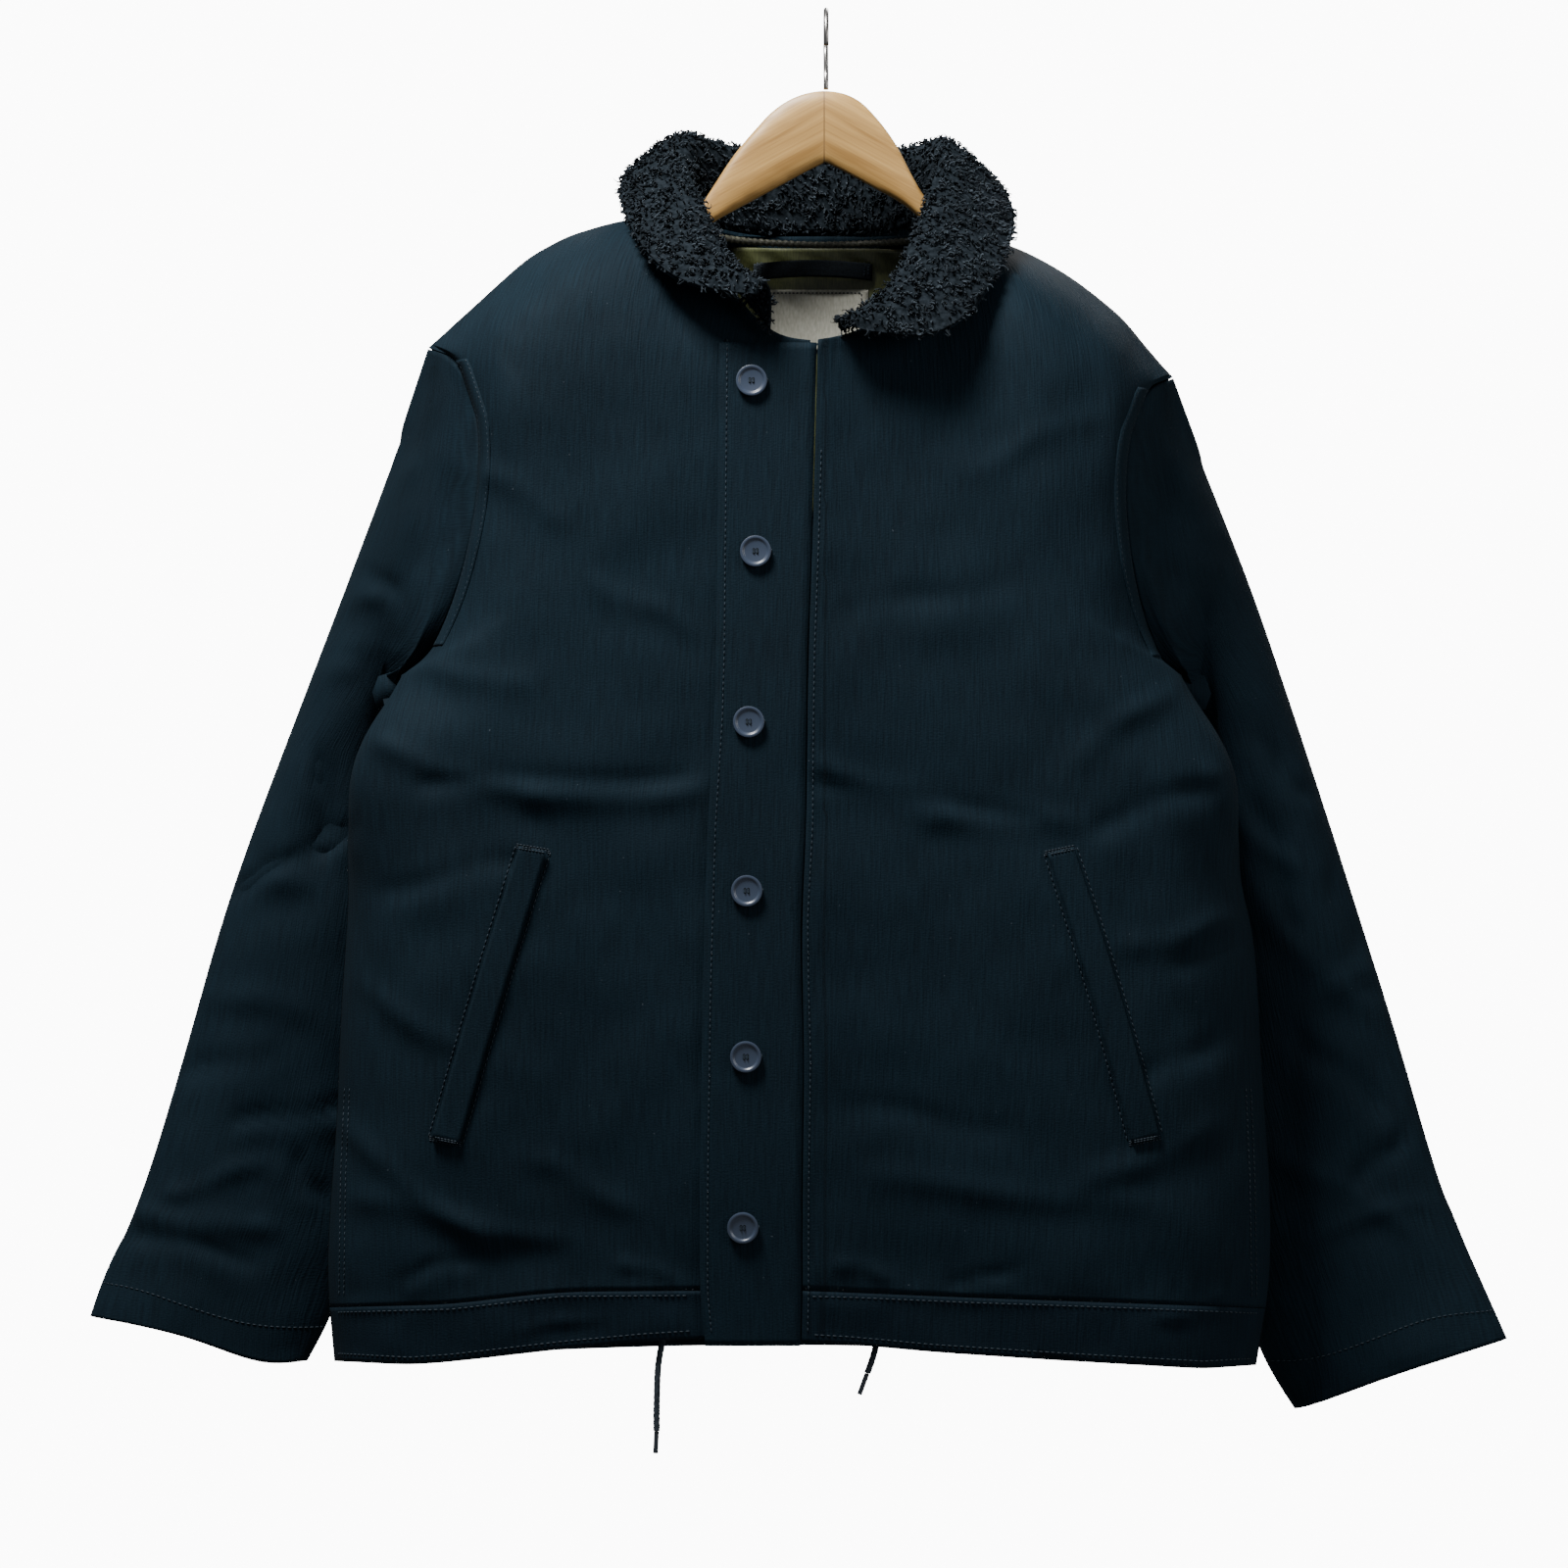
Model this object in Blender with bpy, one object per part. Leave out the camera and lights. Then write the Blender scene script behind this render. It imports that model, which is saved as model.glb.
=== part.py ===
"""Deck jacket with a pile collar, hung on a contoured wooden hanger.

Metres, +Z up, front facing -Y, the wearer's right at -X.
The origin is the bearing point inside the hook.
"""
import math

import bpy
import numpy as np
from mathutils import Vector
from mathutils.bvhtree import BVHTree

for item in list(bpy.data.objects):
    bpy.data.objects.remove(item, do_unlink=True)

# Front view units: 1.6 to a millimetre on the plane of the hook, seen from 3 m
UNITS_PER_MM = 1.6
HOOK_COLUMN = 841.0
HOOK_ROW = 13.2
EYE_DISTANCE = 3000.0
EYE_X = -25.6
EYE_DROP = 491.8
MM = 0.001

# Cloth sizes in millimetres
SHELL_WALL = 3.0
HEM_WALL = 3.6
SEAM_HALF_GAP = 0.2
PLACKET_THICK = 3.0
REST_GAP = 0.8
ARM_ROWS = 10
SIDE_ROWS = 14


def seen(column, row, depth):
    """Point in space for a place in the front view at a depth in millimetres."""
    scale = (EYE_DISTANCE + depth) / EYE_DISTANCE
    x = EYE_X + ((column - HOOK_COLUMN) / UNITS_PER_MM - EYE_X) * scale
    drop = EYE_DROP + ((row - HOOK_ROW) / UNITS_PER_MM - EYE_DROP) * scale
    return np.array([x * MM, depth * MM, -drop * MM])


def curve_at(table, places):
    """Smooth values of a table of rows at fractional row numbers."""
    rows = np.array(table, dtype=float)
    last = len(rows) - 1
    out = []
    for place in places:
        low = min(int(math.floor(place)), last - 1)
        f = place - low
        p1 = rows[low]
        p2 = rows[low + 1]
        p0 = rows[low - 1] if low > 0 else 2 * p1 - p2
        p3 = rows[low + 2] if low + 2 <= last else 2 * p2 - p1
        out.append(0.5 * (2 * p1 + (p2 - p0) * f
                          + (2 * p0 - 5 * p1 + 4 * p2 - p3) * f * f
                          + (3 * p1 - p0 - 3 * p2 + p3) * f ** 3))
    return np.array(out)


def even_rows(table, count):
    return curve_at(table, np.linspace(0, len(table) - 1, count))


def rounded(q, power=2.3):
    """Quarter round: 0 at the edge, 1 once q passes 1."""
    q = min(max(q, 0.0), 1.0)
    return (1.0 - (1.0 - q) ** power) ** (1.0 / power)


def eased(q):
    q = min(max(q, 0.0), 1.0)
    return 0.5 - 0.5 * math.cos(math.pi * q)


# Folds: from and to places, width, and height outward in millimetres (minus is a valley)
FRONT_FOLDS = [
    # column1, row1, column2, row2, width, height
    (507, 300, 512, 430, 15, 6.0),
    (470, 320, 480, 400, 12, -4.0),
    (560, 280, 585, 420, 22, 3.0),
    (640, 300, 660, 520, 26, 3.5),
    (434, 761, 434, 879, 14, 4.0),
    (373, 877, 430, 877, 9, -3.0),
    (400, 840, 520, 842, 9, -3.0),
    (440, 795, 690, 795, 10, -3.0),
    (470, 770, 660, 768, 12, 2.5),
    (354, 1158, 491, 1266, 13, 5.0),
    (439, 1235, 530, 1290, 16, -5.0),
    (600, 880, 620, 1240, 34, -3.0),
    (560, 1320, 570, 1385, 14, 3.0),
    (430, 1340, 432, 1390, 14, -2.5),
    (660, 1325, 662, 1370, 12, 2.5),
    (735, 850, 815, 800, 9, -2.0),
    (830, 800, 1050, 830, 11, -3.2),
    (860, 770, 1030, 795, 13, 2.2),
    (860, 690, 920, 620, 16, 2.5),
    (1105, 301, 1120, 411, 13, -5.0),
    (1137, 347, 1146, 440, 11, 4.5),
    (1050, 320, 1065, 500, 24, 3.5),
    (1145, 705, 1202, 690, 11, 3.5),
    (1191, 797, 1191, 901, 12, 3.5),
    (1228, 875, 1228, 954, 11, 3.5),
    (1278, 958, 1212, 982, 9, -6.5),
    (1255, 925, 1205, 930, 11, 3.5),
    (1228, 1110, 1191, 1163, 13, 3.0),
    (1265, 1231, 1191, 1267, 12, 4.0),
    (1230, 1180, 1000, 1260, 14, -3.5),
    (1180, 1240, 1000, 1305, 13, 3.0),
    (960, 880, 945, 1240, 36, -2.5),
    (860, 1290, 866, 1370, 12, 3.0),
    (980, 1310, 984, 1380, 12, -3.0),
    (1190, 1345, 1194, 1397, 14, 3.0),
]
SLEEVE_FOLDS = [
    # column1, row1, column2, row2, width, height
    (458, 395, 447, 590, 11, -11.0),
    (430, 400, 405, 560, 12, 5.0),
    (245, 905, 345, 850, 12, -5.0),
    (255, 870, 335, 820, 12, 4.0),
    (345, 785, 318, 856, 12, -6.0),
    (246, 1144, 340, 1129, 12, -4.5),
    (240, 1110, 330, 1092, 14, 4.0),
    (300, 1200, 335, 1222, 13, -5.0),
    (297, 1309, 330, 1361, 10, -4.0),
    (200, 1180, 175, 1300, 26, 3.0),
    (340, 640, 300, 800, 22, 3.5),
    (1183, 440, 1190, 600, 11, -10.0),
    (1215, 430, 1235, 560, 13, 5.0),
    (1227, 640, 1232, 717, 11, -4.0),
    (1296, 766, 1327, 807, 11, -4.0),
    (1300, 839, 1303, 933, 12, -6.0),
    (1335, 850, 1345, 940, 14, 3.5),
    (1317, 1048, 1312, 1152, 13, -4.5),
    (1427, 1163, 1390, 1200, 12, -3.5),
    (1440, 1120, 1395, 1165, 13, 3.0),
    (1370, 1240, 1400, 1370, 26, 3.0),
]
BACK_FOLDS = [
    # column1, row1, column2, row2, width, height
    (560, 330, 600, 620, 30, 4.0),
    (1090, 360, 1050, 640, 30, 4.0),
    (470, 760, 720, 800, 20, -3.5),
    (1180, 780, 930, 830, 20, -3.5),
    (640, 900, 620, 1280, 36, 4.0),
    (1010, 880, 1040, 1290, 36, 4.0),
    (820, 500, 830, 1200, 46, -3.0),
    (420, 1120, 560, 1240, 22, -3.0),
    (1200, 1100, 1080, 1230, 22, -3.0),
]


def fold_height(table, column, row):
    """Sum of the folds at a place of the front view."""
    total = 0.0
    for c1, r1, c2, r2, width, height in table:
        along = np.array([c2 - c1, r2 - r1], dtype=float)
        here = np.array([column - c1, row - r1], dtype=float)
        length = float(along @ along)
        f = min(max(float(here @ along) / length, 0.0), 1.0)
        apart = np.linalg.norm(here - f * along)
        total += height * math.exp(-(apart / (width * 1.45)) ** 2)
    return total


# Depth of the front and of the back along the height, in millimetres
FRONT_DEPTH = [
    # row, depth
    (200, -46), (343, -70), (400, -72), (500, -76), (650, -81), (800, -85),
    (1000, -85), (1200, -80), (1330, -72), (1400, -68),
]
BACK_DEPTH = [
    # row, depth
    (200, 48), (300, 52), (500, 52), (800, 48), (1100, 44), (1400, 38),
]


def depth_at(table, row):
    rows = [line[0] for line in table]
    values = [line[1] for line in table]
    return float(np.interp(row, rows, values))


# Armhole: shoulder tip, armpit, and how far the seam bows in, for each side
ARMHOLES = {
    "right": dict(tip=(437, 355), pit=(410, 690), bow_front=65, bow_back=34, inward=1),
    "left": dict(tip=(1197, 385), pit=(1205, 690), bow_front=54, bow_back=30, inward=-1),
}
TIP_DEPTH = 0.0
PIT_DEPTH = 12.0
ARM_HALF_FRONT = 54.0
ARM_HALF_BACK = 40.0

# Side seam below the armpit down to the hem seam, then the hem band
SIDE_SEAM = {
    "right": [
        # column, row
        (410, 690), (410, 712), (404, 738), (388, 768), (366, 803), (353, 850), (356, 900),
        (354, 950), (349, 1010), (346, 1080), (344, 1140), (339, 1200), (335, 1262), (334, 1300),
        (336, 1334),
    ],
    "left": [
        # column, row
        (1205, 690), (1205, 714), (1211, 742), (1229, 770), (1253, 803), (1266, 850),
        (1264, 900), (1279, 945), (1284, 1010), (1287, 1080), (1291, 1140), (1296, 1200),
        (1297, 1262), (1296, 1300), (1292, 1335),
    ],
}
HEM_SIDE = {
    "right": ((336, 1334), (341, 1389)),
    "left": ((1292, 1335), (1282, 1393)),
}
HEM_ROWS = 3
SIDE_SEAM_DEPTH = -8.0
# How far the front swells out past the side seam below the armhole
SWELL = [(640, 0), (665, 3), (690, 9), (712, 23), (738, 36), (768, 35), (803, 23), (850, 6),
         (900, 0)]


def armhole_points(side, half):
    """Columns, rows and depths from the shoulder tip to the armpit."""
    hole = ARMHOLES[side]
    out = []
    for k in range(ARM_ROWS + 1):
        angle = math.pi * k / ARM_ROWS
        f = 0.5 - 0.5 * math.cos(angle)
        column = hole["tip"][0] + f * (hole["pit"][0] - hole["tip"][0])
        row = hole["tip"][1] + f * (hole["pit"][1] - hole["tip"][1])
        lean = math.sin(angle) ** 0.9 * (1.12 - 0.35 * f)
        middle = TIP_DEPTH + f * (PIT_DEPTH - TIP_DEPTH)
        if half == "front":
            column += hole["inward"] * hole["bow_front"] * lean
            depth = middle - ARM_HALF_FRONT * math.sin(angle)
        else:
            column += hole["inward"] * hole["bow_back"] * lean
            depth = middle + ARM_HALF_BACK * math.sin(angle)
        out.append((column, row, depth))
    return np.array(out)


def side_points(side):
    """Columns, rows and depths of the side seam below the armpit."""
    out = []
    for k, (column, row) in enumerate(SIDE_SEAM[side]):
        depth = PIT_DEPTH + (SIDE_SEAM_DEPTH - PIT_DEPTH) * eased(k / 5.0)
        out.append((column, row, depth))
    return np.array(out)


def hem_points(side):
    """Columns, rows and depths of the hem band's side, seam first."""
    (c1, r1), (c2, r2) = HEM_SIDE[side]
    out = []
    for k in range(HEM_ROWS + 1):
        f = k / HEM_ROWS
        out.append(((1 - f) * c1 + f * c2, (1 - f) * r1 + f * r2, SIDE_SEAM_DEPTH))
    return np.array(out)


SHOULDER = {
    "right": [
        # column, row, from the tip to the neck
        (437, 355), (455, 339), (470, 325), (486, 311), (505, 293), (540, 262), (579, 241),
        (625, 227), (665, 220), (705, 218),
    ],
    "left": [
        (1197, 385), (1184, 371), (1169, 354), (1157, 338), (1145, 324), (1105, 291),
        (1074, 271), (1041, 254), (1008, 243), (975, 234),
    ],
}
# Neckline and front edge, one place for each row of the front panels
NECK_FRONT = {
    "right": [
        # column, row, depth
        (705, 218, 0), (707, 225, -12), (714, 240, -28), (729, 267, -42), (748, 296, -54),
        (768, 322, -63), (795, 344, -70), (827, 347, -71),
    ],
    "left": [
        (975, 234, 0), (972, 241, -12), (962, 256, -28), (944, 281, -42), (920, 307, -54),
        (893, 329, -63), (862, 342, -70), (835, 346, -74),
    ],
}
PLACKET_EDGE = [
    # row, left edge, seam with the left front
    (345, 734, 834), (458, 733, 831), (560, 732, 828), (664, 731, 824), (733, 729, 823),
    (843, 722, 822), (940, 719, 817), (1009, 717, 818), (1078, 716, 820), (1146, 715, 819),
    (1215, 714, 818), (1319, 714, 818), (1374, 720, 817),
]


def placket_columns(row):
    rows = [line[0] for line in PLACKET_EDGE]
    left = float(np.interp(row, rows, [line[1] for line in PLACKET_EDGE]))
    seam = float(np.interp(row, rows, [line[2] for line in PLACKET_EDGE]))
    return left, seam


# Hem seam and bottom edge across the front, as rows at columns
HEM_SEAM_ROW = {
    "right": [(336, 1334), (460, 1331), (516, 1324), (572, 1318), (713, 1317), (830, 1317)],
    "left": [(815, 1317), (870, 1319), (987, 1324), (1159, 1330), (1292, 1335)],
}
HEM_EDGE_ROW = {
    "right": [
        (341, 1389), (418, 1393), (460, 1390), (572, 1377), (657, 1369), (718, 1366),
        (830, 1369),
    ],
    "left": [
        (815, 1370), (866, 1372), (900, 1375), (952, 1380), (1090, 1389), (1228, 1397),
        (1282, 1393),
    ],
}

FRONT_COLUMNS = np.array([
    0, 0.014, 0.036, 0.07, 0.115, 0.17, 0.235, 0.305, 0.38, 0.455, 0.53, 0.605, 0.68,
    0.755, 0.825, 0.89, 0.95, 1.0])


def row_on(table, column):
    line = sorted(table)
    return float(np.interp(column, [p[0] for p in line], [p[1] for p in line]))


def front_grid(side):
    """Outer surface of one front from the shoulder seam to the hem edge."""
    outer = np.vstack([
        armhole_points(side, "front"),
        side_points(side)[1:],
        hem_points(side)[1:],
    ])
    seam_row = ARM_ROWS + SIDE_ROWS
    neck = NECK_FRONT[side]
    count = len(outer)
    inner = []
    for k in range(count):
        if k < len(neck):
            inner.append(neck[k])
            continue
        if k <= seam_row:
            f = (k - len(neck) + 1) / (seam_row - len(neck) + 1)
            row = neck[-1][1] + f * (1317 - neck[-1][1])
        else:
            f = (k - seam_row) / (count - 1 - seam_row)
            row = 1317 + f * (1369 - 1317)
        seam = placket_columns(row)[1]
        column = seam - 6 if side == "right" else seam + 0.7
        inner.append((column, row, depth_at(FRONT_DEPTH, row)))
    inner = np.array(inner)
    top_line = np.array(SHOULDER[side], dtype=float)
    top_f = np.abs(top_line[:, 0] - top_line[0, 0]) / abs(top_line[-1, 0] - top_line[0, 0])
    grid = np.zeros((count, len(FRONT_COLUMNS), 3))
    for k in range(count):
        v = (outer[k, 1] - outer[0, 1]) / (outer[seam_row, 1] - outer[0, 1])
        for j, s in enumerate(FRONT_COLUMNS):
            column = (1 - s) * outer[k, 0] + s * inner[k, 0]
            row = (1 - s) * outer[k, 1] + s * inner[k, 1]
            top_row = float(np.interp(s, top_f, top_line[:, 1]))
            straight = (1 - s) * outer[0, 1] + s * inner[0, 1]
            row += (top_row - straight) * max(0.0, 1 - v / 0.62) ** 2
            seam_column = (1 - s) * outer[seam_row, 0] + s * inner[seam_row, 0]
            wish = row_on(HEM_SEAM_ROW[side], seam_column)
            if k <= seam_row:
                flat = (1 - s) * outer[seam_row, 1] + s * inner[seam_row, 1]
                row += (wish - flat) * max(0.0, v) ** 3
            elif s > 0:
                f = (k - seam_row) / (count - 1 - seam_row)
                edge_column = (1 - s) * outer[-1, 0] + s * inner[-1, 0]
                row = (1 - f) * wish + f * row_on(HEM_EDGE_ROW[side], edge_column)
            swell = depth_at(SWELL, row) * 1.5 * (s / 0.07) ** 0.35 * math.exp(-(s / 0.17) ** 2)
            column -= ARMHOLES[side]["inward"] * swell
            inside = depth_at(FRONT_DEPTH, row) - fold_height(FRONT_FOLDS, column, row)
            if side == "left":
                step = PLACKET_THICK + REST_GAP
                inside -= step * (1 - eased((column - placket_columns(row)[1]) / 60.0))
            drop = max(0.0, row - top_row)
            weight = rounded(s / 0.30) * rounded(drop / 62.0)
            edge = outer[k, 2] * (1 - s) + (inner[0, 2] if k < 1 else outer[k, 2]) * s
            edge = edge * (1 - max(0.0, 1 - drop / 62.0) * min(1.0, s / 0.1))
            depth = edge + (inside - edge) * weight
            if k < len(neck):
                last = depth_at(FRONT_DEPTH, inner[k, 1])
                full = rounded(max(0.0, inner[k, 1] - top_line[-1, 1]) / 62.0)
                depth += (inner[k, 2] - full * last) * s ** 5
            grid[k, j] = seen(column, row, depth)
    return grid


BACK_NECK = [
    # column, row, depth
    (705, 218, 0), (714, 226, 15), (743, 237, 33), (786, 242, 46), (841, 243, 50),
    (892, 242, 46), (935, 240, 33), (962, 238, 15), (975, 234, 0),
]
BACK_EDGE_COLUMNS = [0, 0.008, 0.022, 0.05, 0.095, 0.155, 0.225, 0.295]


def back_columns():
    """Columns of the back, with one on each neck point."""
    tip = SHOULDER["right"][0][0]
    width = SHOULDER["left"][0][0] - tip
    neck = [(line[0] - tip) / width for line in BACK_NECK]
    mirrored = [1 - s for s in reversed(BACK_EDGE_COLUMNS)]
    return np.array(BACK_EDGE_COLUMNS + neck + mirrored[mirrored[0] < neck[-1]:])


def back_grid():
    """Outer surface of the back from the shoulder seams to the hem edge."""
    sides = {}
    for side in ("right", "left"):
        sides[side] = np.vstack([
            armhole_points(side, "back"),
            side_points(side)[1:],
            hem_points(side)[1:],
        ])
    top = [(c, r, 0.0) for c, r in SHOULDER["right"][:-1]]
    top += BACK_NECK
    top += [(c, r, 0.0) for c, r in reversed(SHOULDER["left"][:-1])]
    top = np.array(top, dtype=float)
    top_f = (top[:, 0] - top[0, 0]) / (top[-1, 0] - top[0, 0])
    columns = back_columns()
    count = len(sides["right"])
    seam_row = ARM_ROWS + SIDE_ROWS
    grid = np.zeros((count, len(columns), 3))
    for k in range(count):
        a = sides["right"][k]
        b = sides["left"][k]
        v = (a[1] - sides["right"][0, 1]) / (sides["right"][seam_row, 1] - sides["right"][0, 1])
        for j, s in enumerate(columns):
            column = (1 - s) * a[0] + s * b[0]
            row = (1 - s) * a[1] + s * b[1]
            top_row = float(np.interp(s, top_f, top[:, 1]))
            top_depth = float(np.interp(s, top_f, top[:, 2]))
            straight = (1 - s) * sides["right"][0, 1] + s * sides["left"][0, 1]
            row += (top_row - straight) * max(0.0, 1 - v / 0.62) ** 2
            row -= 16 * math.sin(math.pi * s) * max(0.0, v) ** 3
            inside = depth_at(BACK_DEPTH, row) + fold_height(BACK_FOLDS, column, row)
            drop = max(0.0, row - top_row)
            high = max(0.0, 1 - v / 0.42)
            near = min(s, 1 - s)
            across = high * rounded(near / 0.26) ** 1.3 + (1 - high) * eased(near / 0.40) ** 1.15
            side_depth = a[2] * (1 - s) + b[2] * s
            low = max(0.0, 1 - drop / 62.0)
            start = side_depth * (1 - low * min(1.0, near / 0.05)) + top_depth * low
            weight = across * rounded(drop / 62.0)
            grid[k, j] = seen(column, row, start + (inside - start) * weight)
    return grid


# Sleeves: the outline on the outer side and the underarm on the inner side
SLEEVES = {
    "right": [
        # outer column, outer row, inner column, inner row, middle depth, half depth
        (385, 512, 394, 715, 34, 30),
        (352, 600, 388, 764, 50, 38),
        (306, 720, 386, 800, 51, 37),
        (260, 840, 392, 892, 50, 35),
        (225, 940, 392, 1002, 49, 33),
        (191, 1060, 380, 1128, 47, 30),
        (157, 1175, 364, 1246, 44, 27),
        (130, 1250, 348, 1310, 40, 24),
        (106, 1302, 336, 1347, 36, 21),
        (92, 1343, 314, 1388, 33, 19),
    ],
    "left": [
        (1250, 530, 1220, 717, 34, 30),
        (1281, 610, 1228, 768, 50, 38),
        (1319, 722, 1232, 802, 51, 37),
        (1358, 840, 1230, 892, 50, 35),
        (1390, 940, 1228, 1000, 49, 33),
        (1428, 1060, 1238, 1126, 47, 30),
        (1460, 1172, 1254, 1246, 44, 27),
        (1486, 1248, 1270, 1330, 40, 24),
        (1514, 1312, 1290, 1388, 36, 21),
        (1538, 1366, 1321, 1437, 33, 19),
    ],
}
HEAD_RINGS = 5
ARM_RINGS = 16
CUFF_SAG = {"right": (1.9, 13.0), "left": (2.2, 3.0)}


def sleeve_grid(side):
    """Rings of a sleeve; the first ring is the armhole seam."""
    front = armhole_points(side, "front")
    back = armhole_points(side, "back")
    ring = np.vstack([front, back[-2:0:-1]])
    rows = even_rows(SLEEVES[side], ARM_RINGS)
    count = len(ring)
    total = HEAD_RINGS + ARM_RINGS
    grid = np.zeros((total, count, 3))

    def oval(line, angle):
        f = 0.5 - 0.5 * math.cos(angle)
        column = line[0] + f * (line[2] - line[0])
        row = line[1] + f * (line[3] - line[1])
        return np.array([column, row, line[4] - line[5] * math.sin(angle)])

    for i in range(total):
        for k in range(count):
            angle = 2 * math.pi * k / count
            if i < HEAD_RINGS:
                aim = oval(rows[0], angle)
                low = eased((0.5 - 0.5 * math.cos(angle) - 0.40) / 0.35)
                out = np.array([-20.0 * ARMHOLES[side]["inward"], 2.0, 3.0])
                start = (1 - low) * (0.78 * ring[k] + 0.22 * aim) + low * (ring[k] + out)
                f = (i - 1) / (HEAD_RINGS - 1)
                place = ring[k] if i == 0 else (1 - f) * start + f * aim
                f_in = min(1.0, 2.0 * i / HEAD_RINGS)
            else:
                place = oval(rows[i - HEAD_RINGS], angle)
                f_in = 1.0
            if i > 0:
                facing = math.sin(angle)
                height = fold_height(SLEEVE_FOLDS, place[0], place[1]) * f_in
                if facing > 0:
                    place[2] -= height * facing ** 0.6
                else:
                    place[2] += 0.35 * height * (-facing) ** 0.6
            centre, sag = CUFF_SAG[side]
            near_cuff = max(0.0, i / (total - 1) - 0.9) / 0.1
            place[1] += sag * math.exp(-((angle - centre - 0.25) / 0.5) ** 2) * near_cuff
            grid[i, k] = seen(*place)
    return grid


def normals_of(grid, ring):
    """Unit normals of a grid, closed around its columns when ring is true."""
    if ring:
        across = np.roll(grid, -1, axis=1) - np.roll(grid, 1, axis=1)
    else:
        across = np.gradient(grid, axis=1)
    down = np.gradient(grid, axis=0)
    normal = np.cross(across, down)
    length = np.linalg.norm(normal, axis=2, keepdims=True)
    return normal / np.maximum(length, 1e-12)


def place_key(point):
    return tuple(int(round(c / 2e-5)) for c in point)


def share_normals(grids, normals, skip=()):
    """Give every place that panels share the mean of their normals."""
    sums = {}
    for name, grid in grids.items():
        if name in skip:
            continue
        seen_here = {}
        for i in range(grid.shape[0]):
            for j in range(grid.shape[1]):
                seen_here.setdefault(place_key(grid[i, j]), []).append(normals[name][i, j])
        for key, values in seen_here.items():
            sums.setdefault(key, []).append(np.mean(values, axis=0))
    for name, grid in grids.items():
        if name in skip:
            continue
        for i in range(grid.shape[0]):
            for j in range(grid.shape[1]):
                mean = np.mean(sums[place_key(grid[i, j])], axis=0)
                normals[name][i, j] = mean / max(np.linalg.norm(mean), 1e-9)


def pull_back(outer, inner, edges):
    """Draw the seamed edges back by half of the seam gap."""
    moves = {
        "first": (lambda g: g[0], lambda g: g[1]),
        "last": (lambda g: g[-1], lambda g: g[-2]),
        "start": (lambda g: g[:, 0], lambda g: g[:, 1]),
        "end": (lambda g: g[:, -1], lambda g: g[:, -2]),
    }
    for edge in edges:
        rim, next_in = moves[edge]
        way = next_in(outer) - rim(outer)
        length = np.linalg.norm(way, axis=1, keepdims=True)
        step = way / np.maximum(length, 1e-9) * SEAM_HALF_GAP * MM
        rim(outer)[...] += step
        rim(inner)[...] += step


# Materials
def material(name, colour, rough, metal=0.0):
    made = bpy.data.materials.new(name)
    made.use_nodes = True
    shader = made.node_tree.nodes["Principled BSDF"]
    shader.inputs["Base Color"].default_value = (*colour, 1.0)
    shader.inputs["Roughness"].default_value = rough
    shader.inputs["Metallic"].default_value = metal
    return made


SHELL = material("shell_cloth", (0.018, 0.032, 0.045), 0.9)
PILE = material("collar_pile_cloth", (0.045, 0.05, 0.055), 1.0)
LINING = material("lining_satin", (0.075, 0.085, 0.04), 0.45)
TAPE = material("tape_cloth", (0.012, 0.02, 0.032), 0.8)
LABEL = material("label_cloth", (0.6, 0.57, 0.47), 0.85)
PIPING = material("piping_cord", (0.06, 0.062, 0.045), 0.7)
BUTTON = material("button_plastic", (0.03, 0.045, 0.075), 0.35)
WOOD = material("hanger_wood", (0.5, 0.33, 0.16), 0.5)
STEEL = material("hook_steel", (0.25, 0.25, 0.26), 0.3, 1.0)


def add_mesh(name, points, faces, look):
    """Closed mesh whose faces are turned to point out."""
    volume = 0.0
    for face in faces:
        p = points[face[0]]
        for n in range(1, len(face) - 1):
            volume += float(np.dot(p, np.cross(points[face[n]], points[face[n + 1]])))
    if volume < 0:
        faces = [tuple(reversed(face)) for face in faces]
    mesh = bpy.data.meshes.new(name)
    mesh.from_pydata([tuple(p) for p in points], [], faces)
    mesh.materials.append(look)
    mesh.update()
    made = bpy.data.objects.new(name, mesh)
    bpy.context.scene.collection.objects.link(made)
    return made


def wall_between(name, outer, inner, look, ring=False):
    """Closed wall between two grids, outer facing along its normals."""
    rows, columns = outer.shape[:2]
    size = rows * columns
    points = np.vstack([outer.reshape(-1, 3), inner.reshape(-1, 3)])
    faces = []
    spans = columns if ring else columns - 1
    for i in range(rows - 1):
        for j in range(spans):
            a = i * columns + j
            b = i * columns + (j + 1) % columns
            c = b + columns
            d = a + columns
            faces.append((a, d, c, b))
            faces.append((a + size, b + size, c + size, d + size))
    for j in range(spans):
        a = j
        b = (j + 1) % columns
        faces.append((a, b, b + size, a + size))
        a += (rows - 1) * columns
        b += (rows - 1) * columns
        faces.append((b, a, a + size, b + size))
    if not ring:
        for i in range(rows - 1):
            a = i * columns
            d = a + columns
            faces.append((d, a, a + size, d + size))
            b = a + columns - 1
            c = b + columns
            faces.append((b, c, c + size, b + size))
    return add_mesh(name, points, faces, look)


def lofted(name, rings, look):
    """Closed body through rings of points, with flat ends."""
    rings = np.array(rings)
    count, around = rings.shape[:2]
    points = rings.reshape(-1, 3)
    faces = []
    for i in range(count - 1):
        for k in range(around):
            a = i * around + k
            b = i * around + (k + 1) % around
            faces.append((a, b, b + around, a + around))
    faces.append(tuple(range(around - 1, -1, -1)))
    faces.append(tuple((count - 1) * around + k for k in range(around)))
    return add_mesh(name, points, faces, look)


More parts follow.
